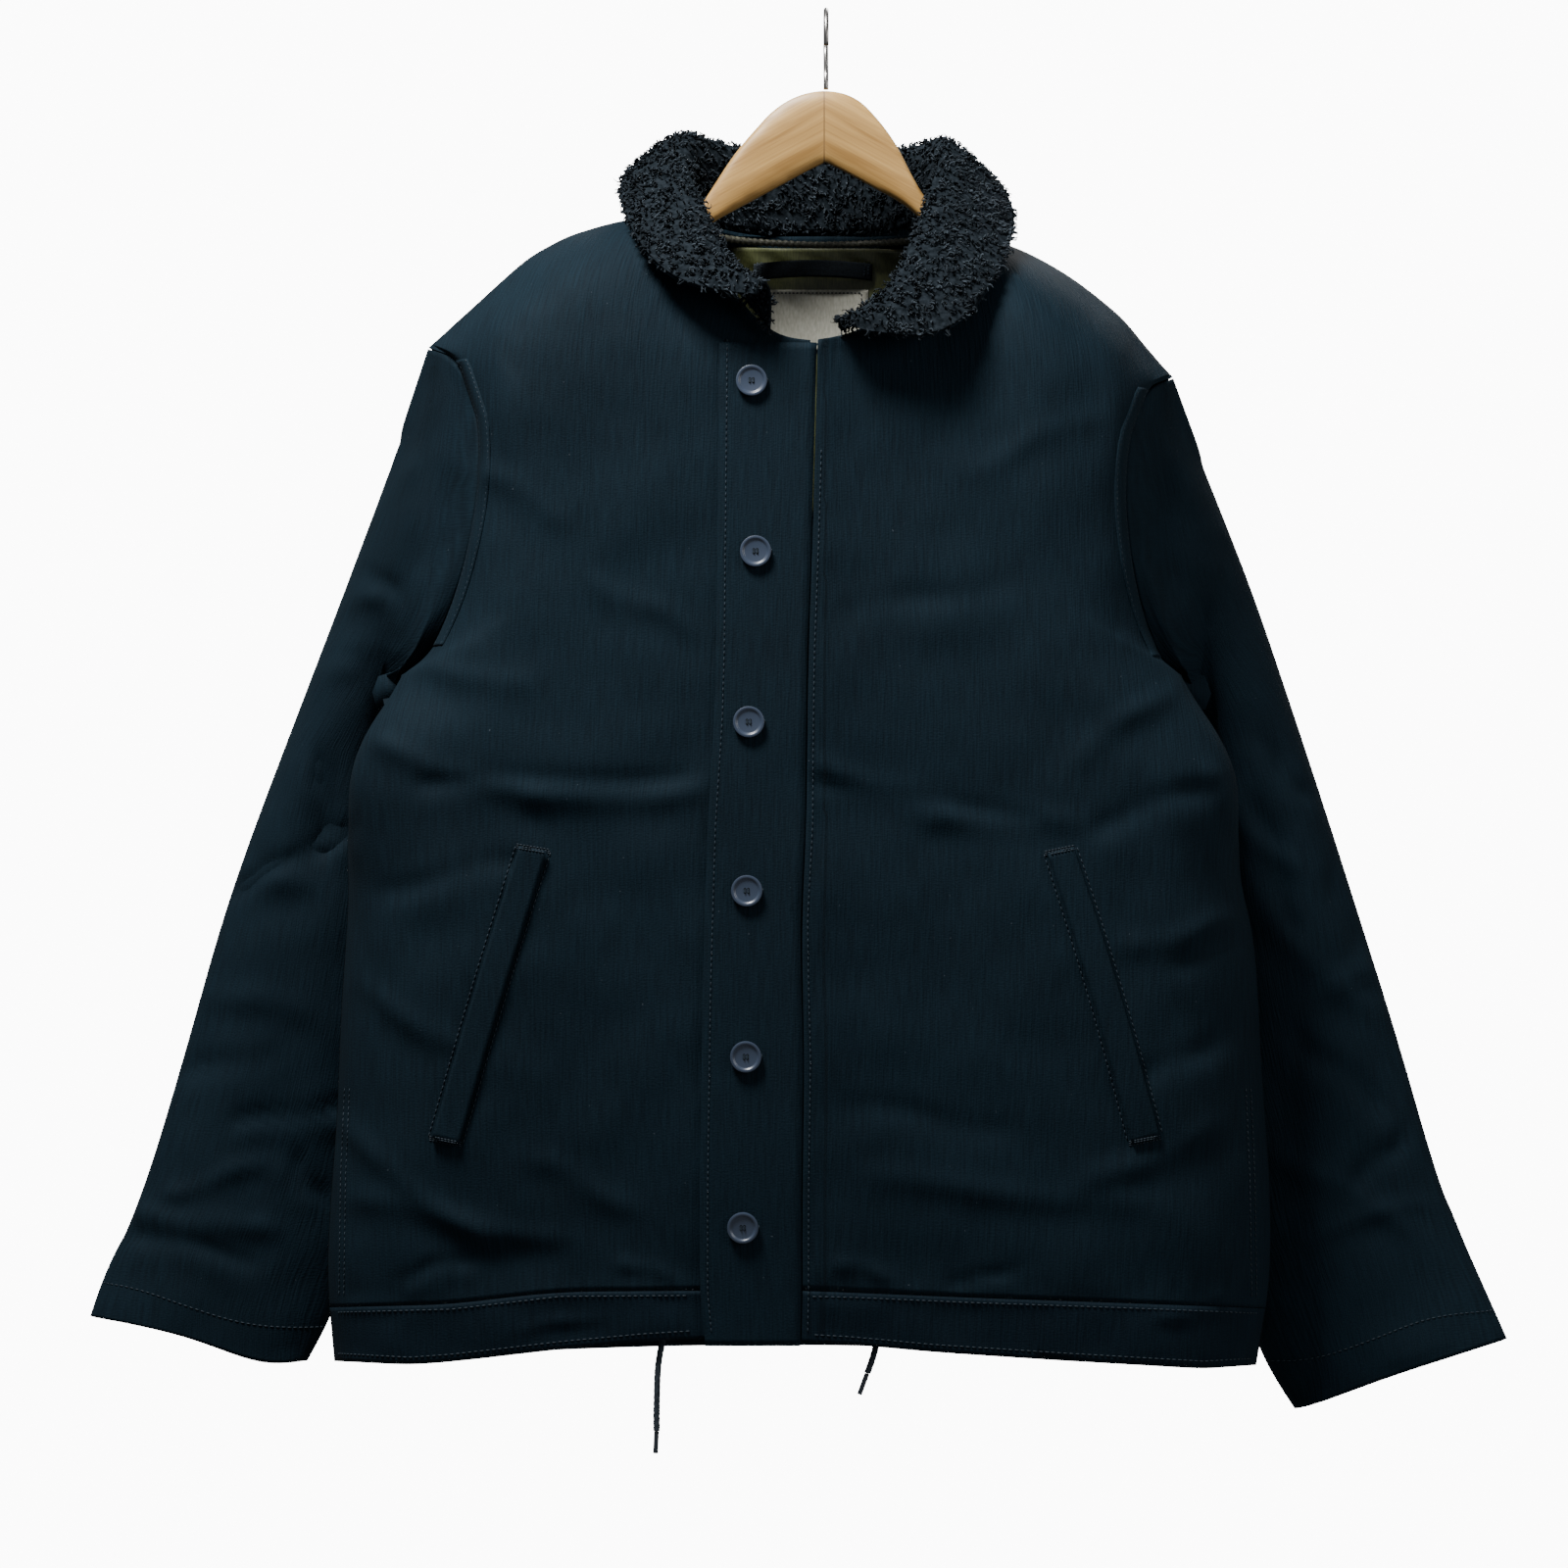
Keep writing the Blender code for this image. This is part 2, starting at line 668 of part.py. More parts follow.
def tube(name, path, radius, sides, look):
    """Round bar along a path given in metres."""
    path = np.array(path)
    rings = []
    side = None
    for i, point in enumerate(path):
        ahead = path[min(i + 1, len(path) - 1)] - path[max(i - 1, 0)]
        ahead = ahead / np.linalg.norm(ahead)
        if side is None:
            start = np.array([1.0, 0, 0]) if abs(ahead[0]) < 0.9 else np.array([0, 1.0, 0])
            side = start - ahead * float(start @ ahead)
        side = side - ahead * float(side @ ahead)
        side = side / np.linalg.norm(side)
        other = np.cross(ahead, side)
        ring = []
        for k in range(sides):
            angle = 2 * math.pi * k / sides
            ring.append(point + radius * MM * (math.cos(angle) * side + math.sin(angle) * other))
        rings.append(ring)
    return lofted(name, rings, look)


# Shell panels
whole = {
    "front_right": front_grid("right"),
    "front_left": front_grid("left"),
    "back": back_grid(),
    "sleeve_right": sleeve_grid("right"),
    "sleeve_left": sleeve_grid("left"),
}
facing = {}
for name, grid in whole.items():
    facing[name] = normals_of(grid, name.startswith("sleeve"))
if facing["front_right"][20, 9, 1] > 0:
    facing["front_right"] *= -1
if facing["front_left"][20, 9, 1] > 0:
    facing["front_left"] *= -1
if facing["back"][20, 15, 1] < 0:
    facing["back"] *= -1
for name in ("sleeve_right", "sleeve_left"):
    if facing[name][12, 5, 1] > 0:
        facing[name] *= -1
own = {name: facing[name].copy() for name in whole}
share_normals(whole, facing)
torso = {name: own[name].copy() for name in whole}
share_normals(whole, torso, skip=("sleeve_right", "sleeve_left"))
# Near the armpit the sleeve and the body keep their own walls
PIT_SPAN = 3.0
for name in ("front_right", "front_left", "back"):
    for k in range(ARM_ROWS + 1):
        mix = eased((PIT_SPAN + 2 - (ARM_ROWS - k)) / PIT_SPAN)
        for j in (0, -1):
            blend = (1 - mix) * facing[name][k, j] + mix * torso[name][k, j]
            facing[name][k, j] = blend / np.linalg.norm(blend)
for name in ("sleeve_right", "sleeve_left"):
    for k in range(2 * ARM_ROWS):
        mix = eased((PIT_SPAN + 2 - abs(ARM_ROWS - k)) / PIT_SPAN)
        blend = (1 - mix) * facing[name][0, k] + mix * own[name][0, k]
        facing[name][0, k] = blend / np.linalg.norm(blend)


def level_shoulders():
    """Turn the wall's edge on the shoulder seams into the plane between front and back."""
    keys = set()
    for name in ("front_right", "front_left"):
        keys.update(place_key(point) for point in whole[name][0])
    neck_first = len(BACK_EDGE_COLUMNS)
    for j in range(whole["back"].shape[1]):
        if j <= neck_first or j >= neck_first + len(BACK_NECK) - 1:
            keys.add(place_key(whole["back"][0, j]))
    for name, grid in whole.items():
        for j in range(grid.shape[1]):
            if place_key(grid[0, j]) in keys:
                flat = facing[name][0, j] * (1, 0, 1)
                facing[name][0, j] = flat / np.linalg.norm(flat)


level_shoulders()

SEAM_ROW = ARM_ROWS + SIDE_ROWS
PANEL_EDGES = {
    "front_right": ("last", "start"),
    "front_left": ("last", "start", "end"),
    "back": ("last", "start", "end"),
}
HEM_NAMES = {
    "front_right": "hem_band_right",
    "front_left": "hem_band_left",
    "back": "hem_band_back",
}
inner_skin = {}
for name, grid in whole.items():
    if name.startswith("sleeve"):
        outer = grid.copy()
        wall = np.full(grid.shape[:2], SHELL_WALL)
        for i in range(HEAD_RINGS + 3):
            for k in range(2 * ARM_ROWS):
                near_pit = eased((5.5 - abs(ARM_ROWS - k)) / 3.0)
                near_tip = 1.0 if min(k, 2 * ARM_ROWS - k) < 2 else 0.0
                thin = max(near_pit, near_tip)
                wall[i, k] *= 1 - 0.62 * thin * (1 - eased((i - HEAD_RINGS) / 3.0))
        inner = grid - facing[name] * wall[:, :, None] * MM
        pull_back(outer, inner, ("first",) * 4)
        wall_between(name, outer, inner, SHELL, ring=True)
        continue
    outer = grid[:SEAM_ROW + 1].copy()
    inner = outer - facing[name][:SEAM_ROW + 1] * SHELL_WALL * MM
    inner_skin[name] = inner.copy()
    apart = SEAM_HALF_GAP * MM if name == "back" else -SEAM_HALF_GAP * MM
    outer[0, :, 1] += apart
    inner[0, :, 1] += apart
    pull_back(outer, inner, PANEL_EDGES[name])
    wall_between(name, outer, inner, SHELL)
    outer = grid[SEAM_ROW:].copy()
    inner = outer - facing[name][SEAM_ROW:] * HEM_WALL * MM
    hem_edges = ("first", "start") if name == "front_right" else ("first", "start", "end")
    pull_back(outer, inner, hem_edges)
    wall_between(HEM_NAMES[name], outer, inner, SHELL)


def skin_tree(grids):
    """Search tree over the outer grids, used to lay pieces on the cloth."""
    points = []
    faces = []
    for grid in grids:
        base = len(points)
        rows, columns = grid.shape[:2]
        points += [Vector(p) for p in grid.reshape(-1, 3)]
        for i in range(rows - 1):
            for j in range(columns - 1):
                a = base + i * columns + j
                faces.append((a, a + 1, a + columns + 1, a + columns))
    return BVHTree.FromPolygons(points, faces)


FRONT_TREES = {
    "right": skin_tree([whole["front_right"]]),
    "left": skin_tree([whole["front_left"]]),
}


def on_front(side, column, row, lift):
    """Point on a front as seen at a place, moved toward the viewer."""
    eye = Vector((EYE_X * MM, -EYE_DISTANCE * MM, -EYE_DROP * MM))
    aim = Vector(seen(column, row, 0.0))
    hit = FRONT_TREES[side].ray_cast(eye, (aim - eye).normalized())
    if hit[0] is None:
        near = FRONT_TREES[side].find_nearest(Vector(seen(column, row, -73)))[0]
        point = seen(column, row, near.y / MM)
    else:
        point = np.array(hit[0])
    point[1] -= lift * MM
    return point


def strip_on(name, side, places, low, high, look):
    """Slab on a front from a grid of places."""
    under = np.array([[on_front(side, c, r, low) for c, r in line] for line in places])
    over = under.copy()
    over[..., 1] -= (high - low) * MM
    return wall_between(name, over, under, look)


# Placket
placket_places = []
for row in np.linspace(350, 1373, 36):
    left, seam = placket_columns(row)
    placket_places.append([
        (left + f * (seam - 6.2 - left), row) for f in (0, 0.06, 0.36, 0.68, 1.0)])
under = np.array([[on_front("right", c, r, REST_GAP) for c, r in line] for line in placket_places])
for line, place in zip(under, placket_places):
    row = place[-1][1]
    edge = seen(placket_columns(row)[1] - 0.3, row, line[-1, 1] / MM)
    line[-1] = edge
over = under.copy()
over[..., 1] -= PLACKET_THICK * MM
over[:, 0, 1] += 0.8 * MM
wall_between("placket", over, under, SHELL)
placket_tree = skin_tree([over])

# Buttons: turned discs with a raised rim
BUTTONS = [(767, 389), (771, 563), (764, 737), (762, 909), (761, 1078), (758, 1252)]
BUTTON_PROFILE = [
    # radius, height above the placket
    (0.0, 0.7), (8.6, 0.7), (9.7, 1.6), (9.7, 2.9), (8.9, 3.9), (7.2, 3.9), (6.2, 2.9),
    (0.0, 2.5),
]
BUTTON_SIDES = 16
for number, (column, row) in enumerate(BUTTONS, start=1):
    eye = Vector((EYE_X * MM, -EYE_DISTANCE * MM, -EYE_DROP * MM))
    aim = Vector(seen(column, row, 0.0))
    hit = placket_tree.ray_cast(eye, (aim - eye).normalized())
    centre = np.array(hit[0])
    axis = np.array(hit[1])
    axis = axis if axis[1] < 0 else -axis
    right = np.cross(axis, (0.0, 0.0, 1.0))
    right = right / np.linalg.norm(right)
    up = np.cross(right, axis)
    points = [centre + axis * BUTTON_PROFILE[0][1] * MM]
    for radius, height in BUTTON_PROFILE[1:-1]:
        for k in range(BUTTON_SIDES):
            angle = 2 * math.pi * k / BUTTON_SIDES
            out = math.cos(angle) * right + math.sin(angle) * up
            points.append(centre + (axis * height + out * radius) * MM)
    points.append(centre + axis * BUTTON_PROFILE[-1][1] * MM)
    faces = []
    rings = len(BUTTON_PROFILE) - 2
    for k in range(BUTTON_SIDES):
        after = (k + 1) % BUTTON_SIDES
        faces.append((0, 1 + k, 1 + after))
        for i in range(rings - 1):
            a = 1 + i * BUTTON_SIDES
            b = a + BUTTON_SIDES
            faces.append((a + k, b + k, b + after, a + after))
        a = 1 + (rings - 1) * BUTTON_SIDES
        faces.append((a + k, len(points) - 1, a + after))
    add_mesh(f"button_{number}", points, faces, BUTTON)

# Pocket welts
WELTS = {
    "right": ((530, 863), (558, 869), (441, 1161), (468, 1168)),
    "left": ((1069, 871), (1095, 864), (1155, 1167), (1183, 1160)),
}
WELT_THICK = 2.8
for side, (top_a, top_b, low_a, low_b) in WELTS.items():
    places = []
    for v in np.linspace(0, 1, 13):
        a = np.array(top_a) * (1 - v) + np.array(low_a) * v
        b = np.array(top_b) * (1 - v) + np.array(low_b) * v
        swell = math.sin(math.pi * v) * (3.0 if side == "left" else -1.5)
        places.append([tuple(a + u * (b - a) + (swell, 0)) for u in (0, 0.5, 1)])
    strip_on(f"pocket_welt_{side}", side, places, REST_GAP + 0.4, REST_GAP + WELT_THICK, SHELL)

# Collar: neck seam, roll and outer edge around the neck
COLLAR = {
    "right": [
        # neck column, row, depth, roll column, row, depth, edge column, row, depth, pile
        (841, 237, 50, 841, 149, 56, 841, 262, 92, 3.2),
        (786, 236, 47, 790, 147, 52, 755, 255, 93, 3.2),
        (743, 231, 34, 750, 146, 42, 690, 212, 90, 3.2),
        (716, 219, 16, 714, 140, 24, 652, 168, 62, 3.2),
        (703, 209, 0, 703, 160, 4, 633, 182, 22, 3.2),
        (711, 227, -20, 720, 199, -22, 633, 205, -16, 3.0),
        (728, 256, -39, 738, 236, -47, 651, 246, -62, 2.6),
        (750, 289, -55, 752, 262, -65, 686, 282, -84, 2.2),
        (770, 316, -66, 771, 280, -78, 732, 296, -94, 1.8),
        (787, 337, -72, 789, 299, -81, 772, 300, -97, 1.6),
    ],
    "left": [
        (841, 237, 50, 841, 149, 56, 841, 262, 92, 3.2),
        (890, 236, 47, 888, 147, 52, 925, 255, 93, 3.2),
        (930, 233, 34, 920, 148, 42, 985, 222, 90, 3.2),
        (960, 230, 16, 950, 146, 24, 1008, 178, 62, 3.2),
        (978, 225, 0, 951, 163, 6, 1032, 204, 22, 3.2),
        (967, 245, -20, 936, 198, -24, 1036, 232, -18, 3.0),
        (946, 270, -40, 924, 235, -48, 1022, 272, -60, 2.6),
        (922, 299, -56, 909, 277, -67, 988, 322, -86, 2.2),
        (893, 321, -66, 884, 304, -80, 940, 344, -97, 1.8),
        (857, 337, -72, 853, 324, -86, 866, 334, -95, 1.6),
    ],
}
PILE_SECTION = (0, 0.2, 0.3, 0.38, 0.46, 0.54, 0.62, 0.7, 0.8, 1.0)
ROLL_WIDTH = 20.0
UNDER_WALL = 1.3


def spline_point(points, f):
    """Point of a smooth curve drawn by its guide points, ends included."""
    guides = [points[0]] * 2 + list(points) + [points[-1]] * 2
    spans = len(guides) - 3
    place = f * spans
    k = min(int(place), spans - 1)
    t = place - k
    a, b, c, d = guides[k:k + 4]
    return ((1 - t) ** 3 * a + (3 * t ** 3 - 6 * t * t + 4) * b
            + (-3 * t ** 3 + 3 * t * t + 3 * t + 1) * c + t ** 3 * d) / 6


def collar_grid(stations):
    """Visible side of the collar from the neck seam over the roll to the edge."""
    table = COLLAR["right"][::-1] + COLLAR["left"][1:]
    rows = even_rows(table, stations)
    grid = np.zeros((stations, len(PILE_SECTION), 3))
    for i, line in enumerate(rows):
        neck = seen(*line[0:3])
        roll = seen(*line[3:6])
        edge = seen(*line[6:9])
        span = float(np.linalg.norm(edge - neck))
        across = (edge - neck) / max(span, 1e-6)
        roll_out = roll + across * min(ROLL_WIDTH * MM, 0.42 * span)
        guides = [neck, (neck + roll) / 2, roll, roll_out, (roll_out + edge) / 2, edge]
        for j, f in enumerate(PILE_SECTION):
            grid[i, j] = spline_point(guides, f)
    return grid, rows[:, 9]


top_side, pile = collar_grid(33)
out_of = normals_of(top_side, False)
if out_of[16, 5, 2] < 0:
    out_of = -out_of
deep = pile[:, None, None] * MM
wall_between("collar_pile", top_side, top_side - out_of * deep, PILE)
FALL_FROM = 5
fall_way = out_of[2:-1, FALL_FROM:]
deep = deep[2:-1]
cloth_top = top_side[2:-1, FALL_FROM:] - fall_way * (deep + 0.6 * MM)
wall_between("under_collar", cloth_top, cloth_top - fall_way * UNDER_WALL / 3.2 * deep, SHELL)

# Lining seen in the neck, label and locker loop
back_inner = inner_skin["back"]
columns = back_columns()
neck_from = len(BACK_EDGE_COLUMNS) + 2
neck_to = neck_from + len(BACK_NECK) - 5
LINING_WALL = 1.2
block = back_inner[1:7, neck_from:neck_to + 1].copy()
block_way = facing["back"][1:7, neck_from:neck_to + 1]
lining_back_side = block - block_way * 1.7 * MM
lining_front_side = lining_back_side - block_way * LINING_WALL * MM
wall_between("lining_back", lining_front_side, lining_back_side, LINING)
lining_tree = skin_tree([lining_front_side])


def on_lining(column, row, lift):
    eye = Vector((EYE_X * MM, -EYE_DISTANCE * MM, -EYE_DROP * MM))
    aim = Vector(seen(column, row, 0.0))
    hit = lining_tree.ray_cast(eye, (aim - eye).normalized())
    point = np.array(hit[0])
    point[1] -= lift * MM
    return point


label_under = []
for row in np.linspace(296, 358, 6):
    label_under.append([on_lining(c, row, 0.9) for c in np.linspace(780, 886, 6)])
label_under = np.array(label_under)
label_over = label_under.copy()
label_over[..., 1] -= 0.7 * MM
wall_between("neck_label", label_over, label_under, LABEL)

loop_under = []
for row, lean in ((267, 0.0), (275, 0.6), (284, 0.0)):
    line = []
    for f in np.linspace(0, 1, 15):
        lift = 1.7 + 7.0 * math.sin(math.pi * f) ** 0.7 + lean
        line.append(on_lining(769 + f * 121, row + 3 * (1 - math.sin(math.pi * f)), lift))
    loop_under.append(line)
loop_under = np.array(loop_under)
loop_over = loop_under.copy()
loop_over[..., 1] -= 1.4 * MM
wall_between("locker_loop", loop_over, loop_under, TAPE)

PIPING_PATH = [
    # column, row, depth
    (733, 240, 21), (752, 243, 28), (785, 247, 35), (841, 249, 38), (895, 247, 35),
    (925, 245, 27), (945, 243, 18),
]
tube("neck_piping", [seen(*p) for p in even_rows(PIPING_PATH, 19)], 1.8, 6, PIPING)

# Hanger: vertical sections along its span
HANGER = [
    # x, top drop, bottom drop, half thickness, squareness
    (-212, 184.5, 203, 9, 0.0), (-205, 177.8, 205, 11, 0.0), (-188, 161.5, 197, 11, 0.0),
    (-164, 149.5, 184, 10, 0.0), (-135, 138.5, 168, 9, 0.0), (-110, 136.0, 155, 8, 0.1),
    (-95, 136.0, 149, 5, 0.2), (-86, 134.9, 144, 5, 0.4), (-74, 115.6, 135.6, 5.5, 1.0),
    (-64, 99.8, 130.2, 7, 1.0), (-55, 86.5, 125.3, 7, 1.0), (-43, 72.5, 118.7, 7, 1.0),
    (-32, 61.3, 112.7, 7, 1.0), (-20, 53.7, 106.2, 7, 1.0), (-8, 50.2, 99.6, 7, 1.0),
    (1, 49.5, 95.6, 7, 1.0), (11, 50.6, 100.5, 7, 1.0), (21, 54.5, 105.9, 7, 1.0),
    (31, 63.2, 111.4, 7, 1.0), (40, 74.4, 116.5, 7, 1.0), (48, 86.5, 121.0, 7, 1.0),
    (57.5, 107.6, 127.5, 7, 1.0), (68, 123, 139, 7, 0.8), (80, 141, 150, 5, 0.4),
    (90, 146.6, 157, 5, 0.2), (108, 152.0, 166, 7, 0.0), (125, 158, 177, 8, 0.0),
    (146, 168.5, 190, 10, 0.0), (165, 180.5, 202, 11, 0.0), (184, 198.5, 215, 9, 0.0),
    (195, 209.5, 222, 6, 0.0),
]
HANGER_AROUND = 12
rings = []
for x, top, bottom, half, square in HANGER:
    middle = 0.5 * (top + bottom)
    tall = 0.5 * (bottom - top)
    power = 1.0 - 0.4 * square
    ring = []
    for k in range(HANGER_AROUND):
        angle = 2 * math.pi * (k + 0.5) / HANGER_AROUND
        c = math.cos(angle)
        s = math.sin(angle)
        y = half * math.copysign(abs(c) ** power, c)
        z = -middle + tall * math.copysign(abs(s) ** power, s)
        ring.append((x * MM, y * MM, z * MM))
    rings.append(ring)
lofted("hanger", rings, WOOD)

# Hook, turned so that it shows edge on from the front
HOOK_WIRE = 1.75
HOOK_PATH = [
    # depth, rise
    (0, -49.0), (0, -43), (2.5, -37), (10, -30.5), (16.2, -23), (17.75, -15), (14.6, -5.8),
    (8, 0.0), (0, 1.75), (-8, 0.0), (-14.6, -5.8), (-17.75, -15), (-16, -23),
]
hook_line = [(1.2 * MM, y * MM, z * MM) for y, z in even_rows(HOOK_PATH, 25)]
tube("hanger_hook", hook_line, HOOK_WIRE, 8, STEEL)

# Drawstrings, hanging out of the hem
CORDS = {
    "right": [(677, 1336, -60), (677, 1352, -60), (676, 1368, -61), (673, 1384, -63),
              (671, 1402, -64), (670, 1440, -64), (670, 1460, -64)],
    "left": [(898, 1338, -60), (896, 1354, -60), (894, 1372, -61), (891, 1384, -62),
             (888, 1393, -63), (885, 1401, -63)],
}
TIPS = {
    "right": [(670, 1460.7, -64), (669.5, 1471, -64), (669, 1483, -64)],
    "left": [(884.8, 1401.7, -63), (881, 1412, -63), (877, 1423, -63)],
}
CORD_RADIUS = 2.2
TIP_RADIUS = 1.6
for side in ("right", "left"):
    line = [seen(*p) for p in even_rows(CORDS[side], 13)]
    tube(f"drawstring_{side}", line, CORD_RADIUS, 6, TAPE)
    line = [seen(*p) for p in TIPS[side]]
    tube(f"drawstring_tip_{side}", line, TIP_RADIUS, 6, BUTTON)
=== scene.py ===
import math

import bmesh
import bpy
import numpy as np
from mathutils import Matrix, Vector, noise
from mathutils.bvhtree import BVHTree
from mathutils.kdtree import KDTree


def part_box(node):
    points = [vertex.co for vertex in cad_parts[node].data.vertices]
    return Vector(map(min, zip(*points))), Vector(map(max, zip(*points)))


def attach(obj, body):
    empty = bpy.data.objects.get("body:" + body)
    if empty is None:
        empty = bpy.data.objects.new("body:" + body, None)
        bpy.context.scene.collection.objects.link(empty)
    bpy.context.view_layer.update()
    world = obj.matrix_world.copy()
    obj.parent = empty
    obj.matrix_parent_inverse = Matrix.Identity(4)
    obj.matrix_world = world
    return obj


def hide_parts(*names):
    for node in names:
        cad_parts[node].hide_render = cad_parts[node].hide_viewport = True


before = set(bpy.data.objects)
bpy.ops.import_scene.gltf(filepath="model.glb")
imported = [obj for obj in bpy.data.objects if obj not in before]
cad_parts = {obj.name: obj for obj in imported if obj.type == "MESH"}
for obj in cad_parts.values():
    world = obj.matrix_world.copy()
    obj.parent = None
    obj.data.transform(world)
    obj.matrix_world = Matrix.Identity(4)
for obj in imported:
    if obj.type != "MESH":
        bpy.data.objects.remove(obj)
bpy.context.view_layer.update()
bpy.ops.object.select_all(action="DESELECT")
scene = bpy.context.scene
dice = np.random.default_rng(11)

# The photo's view: 1.6 pixels to a millimetre on the plane of the hook
view = {"px": 1600.0, "column": 800.0, "row": 800.0, "away": 3.0, "x": -0.0256, "z": -0.4918}

cameraData = bpy.data.cameras.new("photo_camera")
cameraData.lens = 108
cameraData.sensor_width = 36
camera = bpy.data.objects.new("photo_camera", cameraData)
scene.collection.objects.link(camera)
camera.location = (view["x"], -view["away"], view["z"])
camera.rotation_euler = (math.pi / 2, 0, 0)
scene.camera = camera


def areaLight(name, place, aim, size, watts):
    data = bpy.data.lights.new(name, "AREA")
    data.size = size
    data.energy = watts
    lamp = bpy.data.objects.new(name, data)
    scene.collection.objects.link(lamp)
    lamp.location = place
    lamp.rotation_euler = (Vector(aim) - Vector(place)).to_track_quat("-Z", "Y").to_euler()


areaLight("key_light", (-0.7, -0.85, 1.45), (0, 0, -0.5), 0.6, 190)
areaLight("fill_light", (1.9, -1.3, 0.1), (0, 0, -0.5), 1.0, 26)
areaLight("back_light", (0.6, 2.0, 1.5), (0, 0, -0.45), 1.0, 50)
world = bpy.data.worlds.new("white_room")
scene.world = world
world.use_nodes = True
room = world.node_tree
room.nodes["Background"].inputs["Color"].default_value = (0.93, 0.97, 1.0, 1)
room.nodes["Background"].inputs["Strength"].default_value = 0.3
backdrop = room.nodes.new("ShaderNodeBackground")
backdrop.inputs["Strength"].default_value = 14.0
choice = room.nodes.new("ShaderNodeMixShader")
room.links.new(room.nodes.new("ShaderNodeLightPath").outputs["Is Camera Ray"], choice.inputs[0])
room.links.new(room.nodes["Background"].outputs[0], choice.inputs[1])
room.links.new(backdrop.outputs[0], choice.inputs[2])
room.links.new(choice.outputs[0], room.nodes["World Output"].inputs["Surface"])
print("stage: view and lights")


def shader(name, colour, rough, specular=0.1, metal=0.0):
    material = bpy.data.materials.new(name)
    material.use_nodes = True
    base = material.node_tree.nodes["Principled BSDF"]
    base.inputs["Base Color"].default_value = (*colour, 1)
    base.inputs["Roughness"].default_value = rough
    base.inputs["Specular IOR Level"].default_value = specular
    base.inputs["Metallic"].default_value = metal
    return material, material.node_tree, base


def addNode(tree, kind, **values):
    node = tree.nodes.new(kind)
    for key, value in values.items():
        setattr(node, key, value)
    return node


def scaled(tree, source, scale, turn=(0, 0, 0)):
    mapping = addNode(tree, "ShaderNodeMapping")
    mapping.inputs["Scale"].default_value = scale
    mapping.inputs["Rotation"].default_value = turn
    tree.links.new(source, mapping.inputs["Vector"])
    return mapping.outputs["Vector"]


def noiseOf(tree, vector, detail=2.0, rough=0.5):
    node = addNode(tree, "ShaderNodeTexNoise")
    node.inputs["Scale"].default_value = 1.0
    node.inputs["Detail"].default_value = detail
    node.inputs["Roughness"].default_value = rough
    tree.links.new(vector, node.inputs["Vector"])
    return node.outputs["Fac"]


def ramp(tree, fac, stops):
    node = addNode(tree, "ShaderNodeValToRGB")
    while len(node.color_ramp.elements) < len(stops):
        node.color_ramp.elements.new(0.5)
    for element, (place, colour) in zip(node.color_ramp.elements, stops):
        element.position = place
        element.color = (*colour, 1)
    tree.links.new(fac, node.inputs["Fac"])
    return node.outputs["Color"]


def mixed(tree, fac, first, second, blend="MIX"):
    node = addNode(tree, "ShaderNodeMix", data_type="RGBA", blend_type=blend)
    if isinstance(fac, float):
        node.inputs[0].default_value = fac
    else:
        tree.links.new(fac, node.inputs[0])
    tree.links.new(first, node.inputs[6])
    tree.links.new(second, node.inputs[7])
    return node.outputs[2]


def bumped(tree, base, height, distance, strength=1.0, onto=None):
    node = addNode(tree, "ShaderNodeBump")
    node.inputs["Distance"].default_value = distance
    node.inputs["Strength"].default_value = strength
    tree.links.new(height, node.inputs["Height"])
    if onto:
        tree.links.new(onto, node.inputs["Normal"])
    tree.links.new(node.outputs["Normal"], base.inputs["Normal"])
    return node.outputs["Normal"]


def ribbedCloth(name, dark, light, rough=0.8, specular=0.07):
    material, tree, base = shader(name, light, rough, specular)
    weave = addNode(tree, "ShaderNodeUVMap", uv_map="weave").outputs["UV"]
    place = addNode(tree, "ShaderNodeTexCoord").outputs["Object"]
    ribs = noiseOf(tree, scaled(tree, weave, (720, 38, 1)), 2.0, 0.6)
    cross = noiseOf(tree, scaled(tree, weave, (520, 900, 1)), 1.0)
    cloud = noiseOf(tree, scaled(tree, place, (9, 9, 9)), 3.0, 0.6)
    fleck = noiseOf(tree, scaled(tree, place, (420, 420, 420)), 1.0)
    tone = mixed(tree, 0.32, ramp(tree, ribs, [(0.3, dark), (0.72, light)]),
                 ramp(tree, cloud, [(0.3, dark), (0.7, light)]))
    tone = mixed(tree, 0.2, tone, ramp(tree, cross, [(0.3, dark), (0.7, light)]))
    lint = ramp(tree, fleck, [(0.8, (0, 0, 0)), (0.86, (0.03, 0.035, 0.04))])
    tone = mixed(tree, 0.8, tone, lint, "ADD")
    tree.links.new(tone, base.inputs["Base Color"])
    low = bumped(tree, base, ribs, 0.0007, 0.9)
    bumped(tree, base, cross, 0.0003, 0.6, low)
    return material


shellCloth = ribbedCloth("shell_ribbed", (0.0006, 0.0030, 0.0054), (0.0023, 0.0086, 0.0140))
hemCloth = ribbedCloth("hem_ribbed", (0.0005, 0.0026, 0.0048), (0.0019, 0.0073, 0.0125))


def plainCloth(name, dark, light, rough, specular, scale, depth):
    material, tree, base = shader(name, light, rough, specular)
    place = addNode(tree, "ShaderNodeTexCoord").outputs["Object"]
    grain = noiseOf(tree, scaled(tree, place, scale), 2.0)
    tree.links.new(ramp(tree, grain, [(0.3, dark), (0.7, light)]), base.inputs["Base Color"])
    bumped(tree, base, grain, depth, 0.8)
    return material


